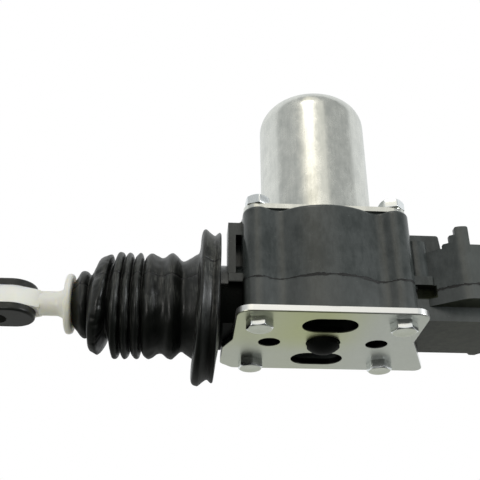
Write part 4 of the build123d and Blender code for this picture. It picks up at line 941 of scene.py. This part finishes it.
# %% The boot's profile
# Each point is (x, radius, lean in degrees, softness). A ring with a lean tips its top towards +X.
outer_profile = [
    (-76.0, 6.7, 0.0, 0.3),
    (-75.0, 8.0, 0.0, 0.5),
    (-73.6, 9.9, -2.0, 0.7),
    (-72.6, 10.3, -2.0, 0.7),
    (-71.7, 9.9, -2.0, 0.5),
    (-71.1, 8.9, 1.0, 0.4),
    (-70.6, 10.4, 4.0, 0.5),
    (-69.4, 13.7, 6.6, 0.8),
    (-68.0, 14.9, 6.6, 0.8),
    (-66.6, 15.4, 6.0, 0.6),
    (-65.7, 14.6, 5.0, 0.4),
    (-65.2, 12.3, 4.0, 0.3),
    (-64.4, 13.2, 3.0, 0.4),
    (-63.5, 15.9, 2.4, 0.6),
    (-62.6, 16.3, 2.0, 0.6),
    (-61.7, 15.7, 2.0, 0.5),
    (-61.2, 13.9, 1.6, 0.3),
    (-60.7, 15.3, 1.4, 0.5),
    (-59.8, 16.3, 1.4, 0.6),
    (-58.8, 15.6, 1.2, 0.5),
    (-58.2, 13.9, 1.0, 0.3),
    (-57.7, 15.2, 0.8, 0.5),
    (-56.6, 16.3, 0.8, 0.6),
    (-55.7, 15.8, 0.6, 0.5),
    (-55.1, 13.9, 0.6, 0.3),
    (-54.4, 15.3, 0.4, 0.6),
    (-53.1, 16.1, 0.2, 0.9),
    (-51.6, 15.6, 0.0, 0.9),
    (-50.0, 14.7, 0.0, 0.9),
    (-48.7, 14.9, 0.0, 0.7),
    (-47.2, 16.1, 0.0, 0.7),
    (-46.0, 16.3, 0.0, 0.7),
    (-44.8, 15.4, 0.0, 0.5),
    (-43.2, 13.9, 0.0, 0.5),
    (-41.6, 14.6, 0.5, 0.6),
    (-39.6, 15.8, 1.0, 0.5),
    (-38.7, 16.6, 1.5, 0.3),
    (-38.5, 18.5, 2.0, 0.4),
    (-38.4, 21.4, 2.0, 0.4),
    (-38.0, 23.4, 2.0, 0.4),
    (-37.4, 24.0, 2.0, 0.4),
    (-36.8, 23.8, 2.0, 0.4),
    (-35.6, 22.8, 2.0, 0.3),
    (-34.4, 22.1, 2.0, 0.3),
    (-33.6, 22.7, 2.0, 0.3),
    (-33.0, 23.1, 2.0, 0.3),
    (-32.6, 22.9, 2.0, 0.2),
    (-32.4, 22.0, 2.0, 0.2),
    (-32.2, 17.0, 1.0, 0.2),
]
outer_x = [point[0] for point in outer_profile]
print("boot from", outer_x[0], "to", outer_x[-1], "in", len(outer_profile), "points")

# %% [markdown]
# ## The inside and a smooth line
# The inside can't be drawn by hand without the wall growing thick and thin, so it is the outside
# moved in by one wall. Straight runs between the points would show as facets. A Catmull-Rom line
# passes through every point, which a Bezier or NURBS line doesn't, so the radii above stay what
# they say.

# %% The inside and a smooth line
WALL = 1.1
SLIMMEST_INSIDE = 7.4
FOLDS_FROM, FOLDS_TO = -69.6, -39.5  # between these the inside follows the outside
# where the boot grips the case's neck, and where it grips the rod: stiff, so neither wanders
neck_seat = [(-32.2, 13.25), (-35.6, 13.25), (-38.0, 13.3)]
rod_seat = [(-70.0, 6.9), (-72.4, 6.2), (-72.6, 5.0), (-76.0, 5.0)]


def inner_profile():
    """The inside: the neck's seat, the folds one wall further in, and the rod's seat."""
    folds = [
        (x, max(radius - WALL, SLIMMEST_INSIDE), lean, soft)
        for x, radius, lean, soft in outer_profile
        if FOLDS_FROM <= x <= FOLDS_TO
    ]
    stiff = (0.0, 0.0)
    return [(*p, *stiff) for p in neck_seat] + folds[::-1] + [(*p, *stiff) for p in rod_seat]


def smooth_loop(points, per_span):
    """A closed Catmull-Rom line through points of any dimension."""
    line = []
    for i in range(len(points)):
        p0, p1, p2, p3 = (Vector(points[(i + k - 1) % len(points)]) for k in range(4))
        for step in range(per_span):
            t = step / per_span
            straight = 2 * p1 + (p2 - p0) * t
            bend = (2 * p0 - 5 * p1 + 4 * p2 - p3) * t * t
            twist = (3 * p1 - p0 - 3 * p2 + p3) * t * t * t
            line.append(0.5 * (straight + bend + twist))
    return line


STEPS_PER_POINT = 3
profile = smooth_loop(outer_profile + inner_profile(), STEPS_PER_POINT)
print("profile points:", len(profile))

# %% [markdown]
# ## How old rubber moves the profile
# A revolved bellows looks machined. Real folds sag, slide along the rod, dent where they have been
# pressed, and buckle. Each of these is a small move of the profile that depends on the angle.
# Smooth noise gives the sag, and a swell, which is a bump function along the rod, places each dent.
# A displacement texture could move the skin too, but it moves it along its normal only.

# %% How old rubber moves the profile
NOISE_START = Vector((3.1, 7.7, 1.3))  # another start gives another boot
SAG, SLIDE, RIPPLE = 0.45, 0.35, 0.22  # millimetres, in the softest rubber
# a place is a middle along the rod and a reach to each side
HANG_DEPTH, HANG_PLACE = 3.6, (-65.0, 2.0)  # the first fold hangs clear of the second, below
PRESS_DEPTH, PRESS_PLACE = 1.2, (-69.0, 1.4)  # and is pressed flat on top
DROOP_DEPTH, DROOP_PLACE = 1.0, (-38.2, 1.0)  # the flange's near lip droops
FIRST_FOLD = (-70.6, -65.6)  # where it starts and ends along the rod
BUCKLE_DEPTH, BUCKLE_SHARE = 1.1, 0.12
SEAM_DEPTH, SEAM_HALF_WIDTH = 0.30, 0.40


def swell(x, middle, half_width):
    """1 at the middle, falling smoothly to 0 at half a width to each side."""
    return max(0.0, 1 - ((x - middle) / half_width) ** 2) ** 2


def unevenness(x, up, near, soft):
    """How far the rubber has gone out from the axis, and along it."""
    where = Vector((x * 0.16, near * 1.4, up * 1.4)) + NOISE_START
    sag = noise.noise(where) * soft * SAG
    slide = noise.noise(where * 1.7 + NOISE_START) * soft * SLIDE
    ripple = noise.noise(Vector((x * 0.9, near * 5.0, up * 5.0))) * soft * RIPPLE
    return sag + ripple, slide


def dents(x, up):
    """How far the dents move the rubber out from the axis, and along it."""
    top, bottom = max(0.0, up) ** 3, max(0.0, -up) ** 3
    hangs_clear = -HANG_DEPTH * bottom * swell(x, *HANG_PLACE)
    pressed_flat = -PRESS_DEPTH * top * swell(x, *PRESS_PLACE)
    lip_droops = -DROOP_DEPTH * bottom * swell(x, *DROOP_PLACE)
    return hangs_clear, pressed_flat + lip_droops


def buckle(x, up, near, soft):
    """Creases across the first fold."""
    if soft == 0 or not FIRST_FOLD[0] < x < FIRST_FOLD[1]:
        return 0.0
    wave = noise.noise(Vector((up * 9.0, near * 9.0, x * 0.25)))
    return -max(0.0, wave - BUCKLE_SHARE) * BUCKLE_DEPTH


def seam_line(radius, soft, angle):
    """The mould's seam: a shallow line on both sides."""
    off_seam = abs((angle - SEAM_ANGLE + pi / 2) % pi - pi / 2) * radius
    return -SEAM_DEPTH * max(0.0, 1 - off_seam / SEAM_HALF_WIDTH) * min(1.0, soft * 2)


def boot_point(x, radius, lean, soft, angle):
    """A point of the skin. The angle is 0 at the near side (-Y) and 90 degrees at the top."""
    up, near = sin(angle), cos(angle)
    uneven_out, uneven_along = unevenness(x, up, near, soft)
    dent_out, dent_along = dents(x, up)
    out = radius + uneven_out + dent_out + buckle(x, up, near, soft)
    out += seam_line(radius, soft, angle)
    along = x + uneven_along + dent_along + tan(radians(lean)) * radius * up
    return Vector((along * MM, -out * near * MM, (ROD_Z + out * up) * MM))


# %% [markdown]
# ## Build the boot
# The moved profile is set round the axis at every two degrees, and quads join each to the next.
# The boot is pinned to the case at one end and to the rod at the other.

# %% Build the boot
STATIONS_ROUND = 180


def build_boot():
    points, faces = [], []
    rows = len(profile)
    for station in range(STATIONS_ROUND):
        angle = 2 * pi * station / STATIONS_ROUND
        points += [boot_point(*point, angle) for point in profile]
        here, there = station * rows, ((station + 1) % STATIONS_ROUND) * rows
        for row in range(rows):
            after = (row + 1) % rows
            faces.append((here + row, here + after, there + after, there + row))
    mesh = bpy.data.meshes.new("rubber_boot")
    mesh.from_pydata(points, [], faces)
    skin = bmesh.new()
    skin.from_mesh(mesh)
    bmesh.ops.recalc_face_normals(skin, faces=skin.faces)
    skin.to_mesh(mesh)
    skin.free()
    for polygon in mesh.polygons:
        polygon.use_smooth = True
    boot = bpy.data.objects.new("rubber_boot", mesh)
    bpy.context.scene.collection.objects.link(boot)
    return boot


boot = build_boot()
boot.data.materials.append(boot_finish)
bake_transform(boot)
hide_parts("boot")
print("boot faces:", len(boot.data.polygons))
